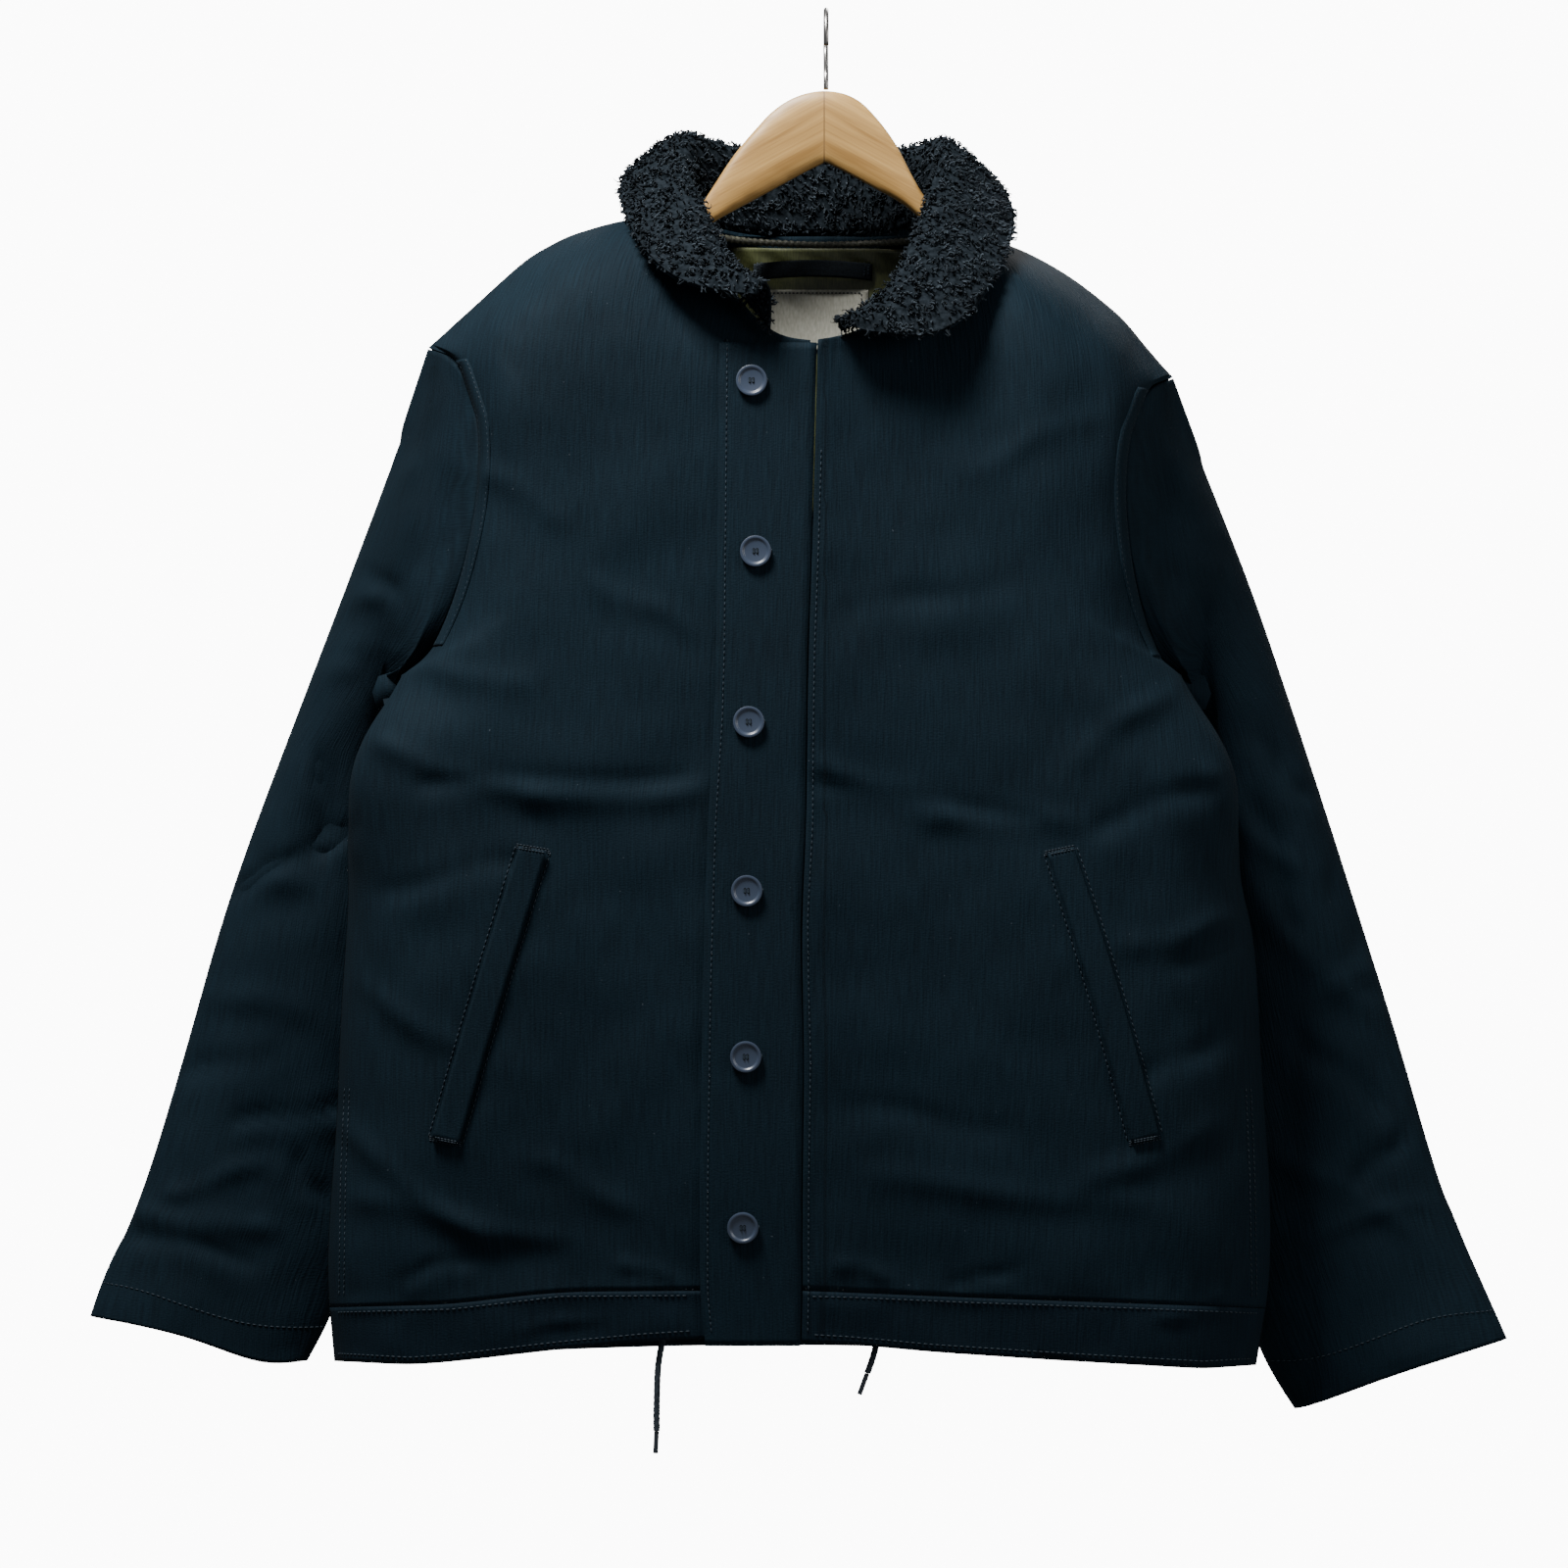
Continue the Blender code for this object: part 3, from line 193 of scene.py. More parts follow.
threadLook = plainCloth("navy_thread", (0.003, 0.007, 0.011), (0.010, 0.018, 0.026), 0.6, 0.2,
                        (900, 900, 900), 0.0001)
pileBase = plainCloth("pile_backing", (0.003, 0.0042, 0.0052), (0.010, 0.013, 0.016), 1.0, 0.0,
                      (300, 300, 300), 0.001)
tapeLook = plainCloth("navy_tape", (0.001, 0.0025, 0.004), (0.006, 0.010, 0.014), 0.8, 0.2,
                      (1100, 160, 1100), 0.0002)
cordLook = plainCloth("navy_cord", (0.003, 0.006, 0.009), (0.013, 0.019, 0.026), 0.8, 0.2,
                      (900, 900, 700), 0.0002)
pipingLook = plainCloth("olive_piping", (0.008, 0.008, 0.005), (0.05, 0.05, 0.032), 0.55, 0.4,
                        (700, 700, 900), 0.0001)
labelLook = plainCloth("cream_label", (0.24, 0.235, 0.195), (0.33, 0.325, 0.275), 0.9, 0.1,
                       (700, 700, 260), 0.0002)
satinLook = plainCloth("olive_satin", (0.024, 0.028, 0.009), (0.050, 0.055, 0.020), 0.36, 0.4,
                       (1200, 1200, 120), 0.00004)


def toneMaterial(name, dark, light, rough, specular):
    material, tree, base = shader(name, light, rough, specular)
    tone = addNode(tree, "ShaderNodeAttribute", attribute_name="tone").outputs["Fac"]
    tree.links.new(ramp(tree, tone, [(0.0, dark), (1.0, light)]), base.inputs["Base Color"])
    return material


# The pile's dark-to-light ramp carries painted shade at the lock roots and a painted highlight at the tips
pileLook = toneMaterial("pile_locks", (0.0035, 0.0050, 0.0065), (0.028, 0.036, 0.044), 0.95, 0.06)
woodLook, woodTree, woodBase = shader("hanger_wood", (0.35, 0.22, 0.09), 0.45, 0.35)
buttonLook = shader("button_resin", (0.017, 0.025, 0.042), 0.36, 0.4)[0]
# Near-black: painted shade inside the button holes
buttonHoleShade = shader("button_hole_shade", (0.001, 0.0015, 0.002), 0.9)[0]
steelLook = shader("hook_steel", (0.22, 0.21, 0.20), 0.3, 0.5, 1.0)[0]
tipLook = shader("cord_tip", (0.006, 0.009, 0.013), 0.35, 0.4)[0]


def woodGrain():  # Grain that follows each arm and meets in a V at the joint in the middle
    place = addNode(woodTree, "ShaderNodeTexCoord").outputs["Object"]
    split = addNode(woodTree, "ShaderNodeSeparateXYZ")
    woodTree.links.new(place, split.inputs[0])
    mirror = addNode(woodTree, "ShaderNodeMath", operation="ABSOLUTE")
    woodTree.links.new(split.outputs["X"], mirror.inputs[0])
    join = addNode(woodTree, "ShaderNodeCombineXYZ")
    woodTree.links.new(mirror.outputs[0], join.inputs["X"])
    woodTree.links.new(split.outputs["Y"], join.inputs["Y"])
    woodTree.links.new(split.outputs["Z"], join.inputs["Z"])
    along = scaled(woodTree, join.outputs[0], (1, 1, 1), (0, -0.5, 0))
    broad = noiseOf(woodTree, scaled(woodTree, along, (7, 130, 130)), 3.0, 0.6)
    fine = noiseOf(woodTree, scaled(woodTree, along, (25, 900, 900)), 2.0)
    tone = mixed(woodTree, 0.35,
                 ramp(woodTree, broad, [(0.3, (0.17, 0.085, 0.020)), (0.68, (0.36, 0.215, 0.068))]),
                 ramp(woodTree, fine, [(0.3, (0.17, 0.09, 0.022)), (0.7, (0.33, 0.20, 0.064))]))
    seam = addNode(woodTree, "ShaderNodeMath", operation="LESS_THAN")
    woodTree.links.new(mirror.outputs[0], seam.inputs[0])
    seam.inputs[1].default_value = 0.0004
    glue = addNode(woodTree, "ShaderNodeRGB")
    glue.outputs[0].default_value = (0.12, 0.065, 0.022, 1)
    woodTree.links.new(mixed(woodTree, seam.outputs[0], tone, glue.outputs[0]),
                       woodBase.inputs["Base Color"])
    bumped(woodTree, woodBase, fine, 0.00012, 0.5)


woodGrain()
print("stage: materials")


def toPhoto(points):  # Photo column and row of each point, as the camera sees it
    near = view["away"] / (view["away"] + points[:, 1])
    column = view["column"] + (points[:, 0] - view["x"]) * view["px"] * near
    row = view["row"] - (points[:, 2] - view["z"]) * view["px"] * near
    return column, row


def adopt(piece, material, replaced=()):
    if material is not None:
        piece.data.materials.clear()
        piece.data.materials.append(material)
    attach(piece, "root")
    if replaced:
        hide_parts(*replaced)
    return piece


def meshPiece(name, points, faces, smooth=True):
    mesh = bpy.data.meshes.new(name)
    mesh.from_pydata([tuple(p) for p in points], [], [tuple(int(i) for i in f) for f in faces])
    mesh.validate()
    mesh.update()
    piece = bpy.data.objects.new(name, mesh)
    scene.collection.objects.link(piece)
    if smooth:
        mesh.polygons.foreach_set("use_smooth", [True] * len(mesh.polygons))
    return piece


rims = {}


def smoothCopy(node, name, levels, sharp=0.85):
    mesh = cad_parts[node].data.copy()
    piece = bpy.data.objects.new(name, mesh)
    scene.collection.objects.link(piece)
    work = bmesh.new()
    work.from_mesh(mesh)
    bmesh.ops.remove_doubles(work, verts=work.verts[:], dist=0.00002)
    bmesh.ops.join_triangles(work, faces=work.faces[:], angle_face_threshold=0.6,
                             angle_shape_threshold=1.2)
    creases = work.edges.layers.float.new("crease_edge")
    rims[name] = []
    for edge in work.edges:
        if len(edge.link_faces) == 2 and edge.calc_face_angle(0.0) > sharp:
            edge[creases] = 1.0
            first, last = (v.co for v in edge.verts)
            for share in np.linspace(0, 1, 1 + math.ceil(edge.calc_length() / 0.003)):
                rims[name].append(first.lerp(last, share))
    work.to_mesh(mesh)
    work.free()
    if levels:
        modifier = piece.modifiers.new("rounded", "SUBSURF")
        modifier.levels = levels
        modifier.render_levels = levels
        bpy.context.view_layer.objects.active = piece
        bpy.ops.object.modifier_apply(modifier="rounded")
    piece.data.polygons.foreach_set("use_smooth", [True] * len(piece.data.polygons))
    return piece


def arraysOf(piece):
    mesh = piece.data
    points = np.empty(len(mesh.vertices) * 3)
    mesh.vertices.foreach_get("co", points)
    normals = np.empty(len(mesh.vertices) * 3)
    mesh.vertex_normals.foreach_get("vector", normals)
    return points.reshape(-1, 3), normals.reshape(-1, 3)


def setPoints(piece, points):
    piece.data.vertices.foreach_set("co", points.ravel())
    piece.data.update()


# Fine creases of the front, over the large folds of the solids
frontCreases = [
    # column, row, to column, row, width px, height mm
    (245, 905, 345, 850, 9, -1.5), (246, 1144, 340, 1129, 8, -1.2), (205, 1010, 300, 1030, 12, 0.9),
    (325, 780, 332, 862, 10, -1.3), (305, 1190, 330, 1228, 10, -1.2), (180, 1215, 262, 1190, 9, 1.0),
    (300, 640, 372, 610, 9, 1.0), (330, 560, 395, 600, 9, -1.0), (150, 1260, 250, 1285, 9, -0.8),
    (1227, 632, 1232, 717, 9, -1.3), (1296, 766, 1327, 807, 9, -1.2), (1288, 835, 1317, 936, 11, -1.5),
    (1427, 1163, 1388, 1202, 10, -1.3), (1350, 1010, 1420, 985, 11, 1.0), (1330, 1260, 1440, 1230, 9, 0.9),
    (1250, 520, 1300, 600, 10, 0.9), (1360, 880, 1382, 960, 9, -0.9),
    (440, 800, 690, 792, 10, -0.9), (735, 850, 815, 800, 7, -0.9), (830, 800, 1050, 830, 9, -0.9),
    (354, 1158, 491, 1266, 11, 1.1), (1278, 954, 1212, 980, 9, -1.0), (470, 470, 560, 520, 13, 0.7),
    (1010, 470, 1100, 430, 13, 0.7), (560, 1190, 640, 1230, 12, 0.8), (880, 1130, 1010, 1150, 12, -0.7),
    (620, 600, 700, 640, 13, 0.7), (880, 620, 1000, 600, 13, -0.7), (860, 1290, 905, 1302, 7, 0.8),
    (980, 1310, 1030, 1296, 7, -0.8), (1190, 1345, 1240, 1330, 7, 0.8), (640, 1290, 690, 1305, 7, 0.7),
    (420, 1300, 470, 1285, 8, -0.8), (540, 1355, 600, 1345, 6, 0.6),
    (820, 772, 960, 828, 12, 1.1), (960, 832, 1090, 836, 12, 0.9), (1112, 764, 1196, 700, 12, 1.2),
    (1130, 838, 1238, 800, 12, -1.1), (1165, 965, 1252, 938, 11, 1.1), (1176, 1096, 1246, 1058, 11, -1.1),
    (1120, 1206, 1222, 1160, 12, 1.1), (900, 1205, 1150, 1226, 13, 0.9), (378, 1228, 562, 1262, 12, 1.0),
    (392, 762, 540, 812, 12, 1.1), (548, 818, 702, 806, 12, 0.9), (372, 664, 520, 696, 13, 0.9),
    (400, 905, 520, 880, 12, -0.9), (372, 1010, 450, 1060, 11, 1.0), (1240, 800, 1312, 884, 12, 1.3),
    (1290, 930, 1382, 1022, 13, 1.3), (1330, 1062, 1402, 1124, 12, -1.3), (1312, 1182, 1424, 1244, 12, 1.2),
    (242, 722, 342, 688, 12, 1.2), (190, 866, 302, 902, 12, 1.1), (150, 1104, 262, 1078, 12, -1.1),
    (122, 1232, 262, 1256, 12, 1.1), (1195, 470, 1245, 540, 12, 1.0), (410, 480, 368, 560, 12, 1.0),
]
backCreases = [
    # column, row, to column, row, width px, height mm
    (560, 420, 700, 470, 14, 0.9), (980, 450, 1110, 420, 13, -0.9), (440, 700, 620, 760, 13, 1.0),
    (900, 740, 1180, 700, 14, -0.9), (700, 900, 980, 930, 15, 0.9), (420, 1020, 560, 1080, 13, -0.9),
    (1010, 1100, 1220, 1060, 13, 1.0), (640, 1180, 820, 1200, 12, -0.8), (880, 1270, 1010, 1255, 9, 0.8),
    (250, 900, 330, 860, 10, -1.2), (210, 1080, 300, 1050, 10, 1.1), (1290, 800, 1340, 860, 10, -1.2),
    (1340, 1050, 1410, 1090, 10, 1.0), (1390, 1230, 1460, 1200, 10, -1.0), (160, 1240, 240, 1265, 9, -0.9),
]


def creaseHeight(table, column, row):
    total = np.zeros_like(column)
    for x1, y1, x2, y2, width, height in table:
        along = np.array([x2 - x1, y2 - y1], float)
        length = np.hypot(*along)
        along /= length
        s = (column - x1) * along[0] + (row - y1) * along[1]
        wander = 0.35 * width * np.sin(s / length * 5.0 + x1)
        d = -(column - x1) * along[1] + (row - y1) * along[0] + wander
        taper = np.exp(-(np.maximum(0, np.maximum(-s, s - length)) / (1.8 * width)) ** 2)
        swell = 0.75 + 0.25 * np.sin(s / length * 7.0 + y1)
        total += height * taper * swell * (np.exp(-(d / width) ** 2)
                                           - 0.4 * np.exp(-((d - 2.1 * width) / (1.5 * width)) ** 2))
    return total


def relaxedHeight(points, size, depth):
    return np.array([noise.noise(Vector(p) / size) for p in points]) * depth


hemRowAt = {"columns": [336, 460, 572, 713, 870, 987, 1159, 1292],
            "rows": [1334, 1331, 1318, 1317, 1319, 1324, 1330, 1335]}


def rimFade(piece, points, reach=0.008):  # 0 on the piece's seams and edges, 1 away from them
    tree = KDTree(len(rims[piece.name]))
    for i, p in enumerate(rims[piece.name]):
        tree.insert(p, i)
    tree.balance()
    gap = np.array([tree.find(p)[2] for p in points])
    return np.clip((gap - 0.0012) / reach, 0, 1)


def wornSurface(piece, back=False, ripple=0.0):
    points, normals = arraysOf(piece)
    column, row = toPhoto(points)
    facing = np.clip((normals[:, 1] if back else -normals[:, 1]) * 1.6 - 0.25, 0, 1)
    height = 2.1 * creaseHeight(backCreases if back else frontCreases, column, row)
    height += relaxedHeight(points, 0.045, 1.5)
    height += relaxedHeight(points * np.array([0.8, 1, 0.8]), 0.02, 0.55)
    if ripple:
        near = np.exp(-(np.abs(row - np.interp(column, hemRowAt["columns"], hemRowAt["rows"])) / 22) ** 2)
        wave = np.array([noise.noise(Vector((p[0] / 0.0075, 3.1, p[2] / 0.06))) for p in points])
        height += ripple * near * wave
    height *= facing * rimFade(piece, points) * 0.001
    setPoints(piece, points + normals * height[:, None])


def girthMap(piece, line=None):  # Gives the piece its weave map: across the ribs in metres, and along them
    points, normals = arraysOf(piece)
    if line is None:
        across = points[:, 0] + 0.35 * points[:, 1] * np.sign(points[:, 0] + 1e-9)
        along = points[:, 2]
    else:
        middleX = np.interp(-points[:, 2], [-r[0] for r in line], [r[1] for r in line])
        middleY = np.interp(-points[:, 2], [-r[0] for r in line], [r[2] for r in line])
        across = np.arctan2(points[:, 0] - middleX, -(points[:, 1] - middleY)) * 0.062
        along = points[:, 2]
    layer = piece.data.uv_layers.new(name="weave")
    corners = np.empty(len(piece.data.loops), dtype=int)
    piece.data.loops.foreach_get("vertex_index", corners)
    values = np.stack([across[corners], along[corners]], axis=1)
    layer.data.foreach_set("uv", values.ravel())


def sleeveAxis(piece):
    points = arraysOf(piece)[0]
    line = []
    for z in np.linspace(points[:, 2].max() - 0.03, points[:, 2].min() + 0.03, 14):
        band = points[np.abs(points[:, 2] - z) < 0.02]
        line.append((z, (band[:, 0].min() + band[:, 0].max()) / 2,
                     (band[:, 1].min() + band[:, 1].max()) / 2))
    return line


panelLevels = 3
panel = {}
# name, levels, on the back, hem ripple, cloth
panels = [
    ("front_right", panelLevels, False, 1.1, shellCloth), ("front_left", panelLevels, False, 1.1, shellCloth),
    ("back", 2, True, 0.8, shellCloth), ("sleeve_right", panelLevels, False, 0.0, shellCloth),
    ("sleeve_left", panelLevels, False, 0.0, shellCloth), ("placket", 2, False, 0.0, shellCloth),
    ("hem_band_right", 2, False, 1.3, hemCloth), ("hem_band_left", 2, False, 1.3, hemCloth),
    ("hem_band_back", 2, True, 1.0, hemCloth), ("under_collar", 2, False, 0.0, shellCloth),
    ("pocket_welt_right", 2, False, 0.0, shellCloth), ("pocket_welt_left", 2, False, 0.0, shellCloth),
]
for node, levels, onBack, ripple, cloth in panels:
    piece = smoothCopy(node, f"{node}_cloth", levels)
    if node.startswith("sleeve"):
        line = sleeveAxis(piece)
        wornSurface(piece)
        wornSurface(piece, back=True)
        girthMap(piece, line)
    else:
        if node not in ("placket", "under_collar", "pocket_welt_right", "pocket_welt_left"):
            wornSurface(piece, back=onBack, ripple=ripple)
        girthMap(piece)
    panel[node] = adopt(piece, cloth, [node])
print("stage: panels")


def treeOf(*pieces):
    points = []
    faces = []
    for piece in pieces:
        start = len(points)
        points += [v.co.copy() for v in piece.data.vertices]
        faces += [[start + i for i in face.vertices] for face in piece.data.polygons]
    return BVHTree.FromPolygons(points, faces)


frontTree = treeOf(*[panel[n] for n in panel if n not in ("back", "hem_band_back")])
bodyTree = treeOf(panel["front_right"], panel["front_left"], panel["hem_band_right"],
                  panel["hem_band_left"])
backTree = treeOf(panel["back"], panel["hem_band_back"])
eye = Vector((view["x"], -view["away"], view["z"]))


def seenOn(tree, column, row, lift):
    aim = Vector((view["x"] + (column - view["column"]) / view["px"], 0,
                  view["z"] - (row - view["row"]) / view["px"]))
    spot, normal = tree.ray_cast(eye, (aim - eye).normalized())[:2]
    if spot is None:
        return None
    if normal.y > 0:
        normal = -normal
    return spot + normal * lift, normal


def fromBehind(tree, x, z, lift):
    spot, normal = tree.ray_cast(Vector((x, 1, z)), Vector((0, -1, 0)))[:2]
    if spot is None:
        return None
    if normal.y < 0:
        normal = -normal
    return spot + normal * lift, normal


stitchSets = {"front": [], "back": [], "sleeves": []}


def stitchRow(kind, found, stitch=0.0027, gap=0.0011):  # Splits a line on the cloth into stitches
    found = [f for f in found if f is not None]
    if len(found) < 2:
        return
    spots = np.array([f[0] for f in found])
    ups = np.array([f[1] for f in found])
    steps = np.linalg.norm(np.diff(spots, axis=0), axis=1)
    reach = np.concatenate([[0], np.cumsum(steps)])
    start = 0.0005
    while start + stitch < reach[-1]:
        ends = []
        for s in (start, start + stitch):
            ends.append([np.interp(s, reach, spots[:, k]) for k in range(3)])
        up = [np.interp(start + stitch / 2, reach, ups[:, k]) for k in range(3)]
        if np.linalg.norm(np.array(ends[1]) - ends[0]) > 0.6 * stitch:
            stitchSets[kind].append((ends[0], ends[1], up))
        start += stitch + gap


def between(points, step=3.0):  # Even points along a line of photo columns and rows
    table = np.array(points, float)
    reach = np.concatenate([[0], np.cumsum(np.hypot(*np.diff(table, axis=0).T))])
    places = np.linspace(0, reach[-1], max(2, int(reach[-1] / step)))
    return np.stack([np.interp(places, reach, table[:, 0]), np.interp(places, reach, table[:, 1])], 1)


def frontRow(points, tree=None, kind="front", **words):
    stitchRow(kind, [seenOn(tree or frontTree, c, r, 0.0002) for c, r in between(points)], **words)


# Placket edge, its seam with the front, welts, hem and cuffs
placketEdge = [(734, 345), (733, 458), (732, 560), (731, 664), (729, 733), (722, 843), (719, 940),
               (717, 1009), (716, 1078), (715, 1146), (714, 1215), (714, 1319), (718, 1360)]
placketSeam = [(831, 458), (828, 560), (824, 664), (823, 733), (822, 843), (817, 940), (818, 1009),
               (820, 1078), (819, 1146), (818, 1215), (818, 1319), (817, 1362)]
frontRow([(c + 8, r) for c, r in placketEdge])
frontRow([(c + 7, r) for c, r in placketSeam])
hemLine = [(345, 1334), (460, 1331), (572, 1318), (704, 1317)]
hemLineLeft = [(828, 1318), (870, 1319), (987, 1324), (1159, 1330), (1284, 1335)]
for line in (hemLine, hemLineLeft):
    frontRow([(c, r + 5) for c, r in line])
hemEdge = [(345, 1389), (418, 1393), (460, 1390), (572, 1377), (657, 1369), (706, 1366)]
hemEdgeLeft = [(830, 1370), (866, 1372), (900, 1375), (952, 1380), (1090, 1389), (1228, 1397), (1276, 1394)]
for line in (hemEdge, hemEdgeLeft):
    frontRow([(c, r - 8) for c, r in line])
welts = {"right": ((530, 863), (558, 869), (441, 1161), (468, 1168)),
         "left": ((1069, 871), (1095, 864), (1155, 1167), (1183, 1160))}
for side, (topA, topB, lowA, lowB) in welts.items():
    swell = 3.0 if side == "left" else -1.5
    for first, last, out in ((topA, lowA, -4), (topB, lowB, 4)):
        row = []
        for v in np.linspace(0, 1, 40):
            row.append((first[0] + (last[0] - first[0]) * v + out + swell * math.sin(math.pi * v),
                        first[1] + (last[1] - first[1]) * v))
        frontRow(row, bodyTree)
    for a, b in ((topA, topB), (lowA, lowB)):
        for shift in (-2, 0, 2):
            frontRow([(a[0] - 4, a[1] + shift), (b[0] + 4, b[1] + shift)], stitch=0.0019, gap=0.0002)
for side, column in (("right", 344), ("left", 1284)):
    turn = 1 if side == "right" else -1
    for shift in (8, 13):
        frontRow([(column + turn * (shift + 0), 1110), (column + turn * (shift - 4), 1200),
                  (column + turn * (shift - 6), 1326)], bodyTree)


def cuffRow(name, table):  # One stitch row round a sleeve, in the slanted plane that its front row shows
    piece = panel[name]
    tree = treeOf(piece)
    front = [seenOn(tree, c, r, 0.0) for c, r in between(table)]
    front = np.array([f[0] for f in front if f is not None])
    slope = np.polyfit(front[:, 0], front[:, 2], 1)
    middle = (front[:, 0].min() + front[:, 0].max()) / 2
    points = arraysOf(piece)[0]
    band = points[np.abs(points[:, 2] - np.polyval(slope, middle)) < 0.02]
    centreY = (band[:, 1].min() + band[:, 1].max()) / 2
    found = []
    for angle in np.linspace(0, 2 * math.pi, 150):
        out = Vector((math.cos(angle), math.sin(angle), 0))
        start = Vector((middle, centreY, 0)) + out * 0.25
        start.z = np.polyval(slope, middle + out.x * 0.055)
        aim = Vector((middle + out.x * 0.02, centreY, start.z))
        spot, normal = tree.ray_cast(start, (aim - start).normalized())[:2]
        if spot is not None:
            if normal.dot(out) < 0:
                normal = -normal
            found.append((spot + normal * 0.0002, normal))
    stitchRow("sleeves", found)


cuffRow("sleeve_right", [(113, 1312), (143, 1319), (191, 1333), (245, 1347), (282, 1356)])
cuffRow("sleeve_left", [(1314, 1390), (1370, 1373), (1416, 1365), (1486, 1337)])


def seamPoints(first, second, top, low, onBack):  # The outer line where two panels meet, from the top down
    a = arraysOf(panel[first])[0]
    b = arraysOf(panel[second])[0]
    tree = KDTree(len(b))
    for i, p in enumerate(b):
        tree.insert(p, i)
    tree.balance()
    close = [p for p in a if low < p[2] < top and tree.find(p)[2] < 0.0016]
    close.sort(key=lambda p: -p[2])
    groups = []
    for p in close:
        if groups and groups[-1][0][2] - p[2] < 0.009:
            groups[-1].append(p)
        else:
            groups.append([p])
    pick = max if onBack else min
    return [pick(group, key=lambda p: p[1]) for group in groups]


lapPoints = []
lapFaces = []


lapSteps, lapEndInset = 90, 0.002
lapStitchShares = (0.16, 0.9)


def lapAlong(line, inward, onBack, width=0.009, lift=0.0009):
    tree = backTree if onBack else bodyTree
    sign = 1 if onBack else -1
    rings = []
    rows = ([], [])
    smooth = np.array(line)
    for k in range(3):
        middle = (smooth[:-2] + smooth[2:]) / 2
        smooth[1:-1] = 0.5 * smooth[1:-1] + 0.5 * middle
    reach = np.concatenate([[0], np.cumsum(np.linalg.norm(np.diff(smooth, axis=0), axis=1))])
    # across the lap, and how high it stands there as a share of lift
    profile = ((0.0008, 0.1), (0.0012, 1.0), (width * 0.5, 1.0), (width - 0.0005, 0.95), (width, -0.3))
    for s in np.linspace(lapEndInset, reach[-1] - lapEndInset, lapSteps):
        spot = [np.interp(s, reach, smooth[:, k]) for k in range(3)]
        ring = []
        for across, high in profile:
            x = spot[0] + inward * across
            found, normal = tree.ray_cast(Vector((x, sign, spot[2])), Vector((0, -sign, 0)))[:2]
            if found is None:
                break
            if normal.y * sign < 0:
                normal = -normal
            ring.append(found + normal * (lift * high))
        if len(ring) < len(profile):
            continue
        low = [p - Vector((0, sign * 0.0009, 0)) for p in (ring[3], ring[1])]
        rings.append(ring + low)
        for row, share in zip(rows, lapStitchShares):
            row.append((ring[1].lerp(ring[3], share) + Vector((0, sign * 0.0001, 0)), Vector((0, sign, 0))))
    start = len(lapPoints)
    count = 7
    for ring in rings:
        lapPoints.extend(ring)
    for i in range(len(rings) - 1):
        for k in range(count):
            a, b = start + i * count + k, start + i * count + (k + 1) % count
            lapFaces.append((a, b, b + count, a + count))
    last = start + (len(rings) - 1) * count
    lapFaces.append(tuple(start + k for k in range(count)))
    lapFaces.append(tuple(last + k for k in reversed(range(count))))
    for row in rows:
        stitchRow("back" if onBack else "front", row)


for side, inward in (("right", 1), ("left", -1)):
    for node, onBack in ((f"front_{side}", False), ("back", True)):
        line = seamPoints(node, f"sleeve_{side}", -0.20, -0.415, onBack)
        if side == "right":
            line = [p for p in line if p[0] < -0.1]
        else:
            line = [p for p in line if p[0] > 0.1]
        if len(line) > 4:
            lapAlong(line, inward, onBack)
armholeLaps = meshPiece("armhole_laps", lapPoints, lapFaces)
tidyMesh = bmesh.new()
tidyMesh.from_mesh(armholeLaps.data)
bmesh.ops.recalc_face_normals(tidyMesh, faces=tidyMesh.faces[:])
tidyMesh.to_mesh(armholeLaps.data)
tidyMesh.free()
girthMap(armholeLaps)
adopt(armholeLaps, shellCloth)

# Rows of the back: centre of the hem, and its edge
hemRowHeights = (-0.8235, -0.857)
for z in hemRowHeights:
    found = []
    lowBox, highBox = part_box("hem_band_back")
    for x in np.linspace(lowBox[0] + 0.006, highBox[0] - 0.006, 190):
        bow = np.interp(x, [-0.3, -0.1, 0.05, 0.27], [-0.003, 0.004, 0.003, -0.004])
        found.append(fromBehind(backTree, x, z + bow, 0.0002))
    stitchRow("back", found)
print("stage: seams", {k: len(v) for k, v in stitchSets.items()})


def threadPiece(name, stitches, radius=0.00032):  # Short four-sided stitches with pinched ends, in one piece
    points = []
    faces = []
    for first, last, up in stitches:
        first, last, up = Vector(first), Vector(last), Vector(up).normalized()
        along = (last - first).normalized()
        side = along.cross(up).normalized()
        base = len(points)
        for share, thick, high in ((0.0, 0.35, -0.2), (0.25, 1.0, 0.4), (0.75, 1.0, 0.4), (1.0, 0.35, -0.2)):
            middle = first.lerp(last, share) + up * (radius * high)
            for across, rise in ((1, 0), (0, 1), (-1, 0), (0, -1)):
                points.append(middle + side * (across * radius * thick * 1.2) + up * (rise * radius * thick))
        for i in range(3):
            for k in range(4):
                a, b = base + i * 4 + k, base + i * 4 + (k + 1) % 4
                faces.append((a, a + 4, b + 4, b))
        faces.append(tuple(base + k for k in range(4)))
        faces.append(tuple(base + 12 + k for k in reversed(range(4))))
    piece = meshPiece(name, points, faces)
    work = bmesh.new()
    work.from_mesh(piece.data)
    bmesh.ops.recalc_face_normals(work, faces=work.faces[:])
    work.to_mesh(piece.data)
    work.free()
    return adopt(piece, threadLook)


def seenAt(column, row, depth):
    reach = (view["away"] + depth * 0.001) / view["away"]
    return Vector((view["x"] + (column - view["column"]) / view["px"] * reach, depth * 0.001,
                   view["z"] - (row - view["row"]) / view["px"] * reach))


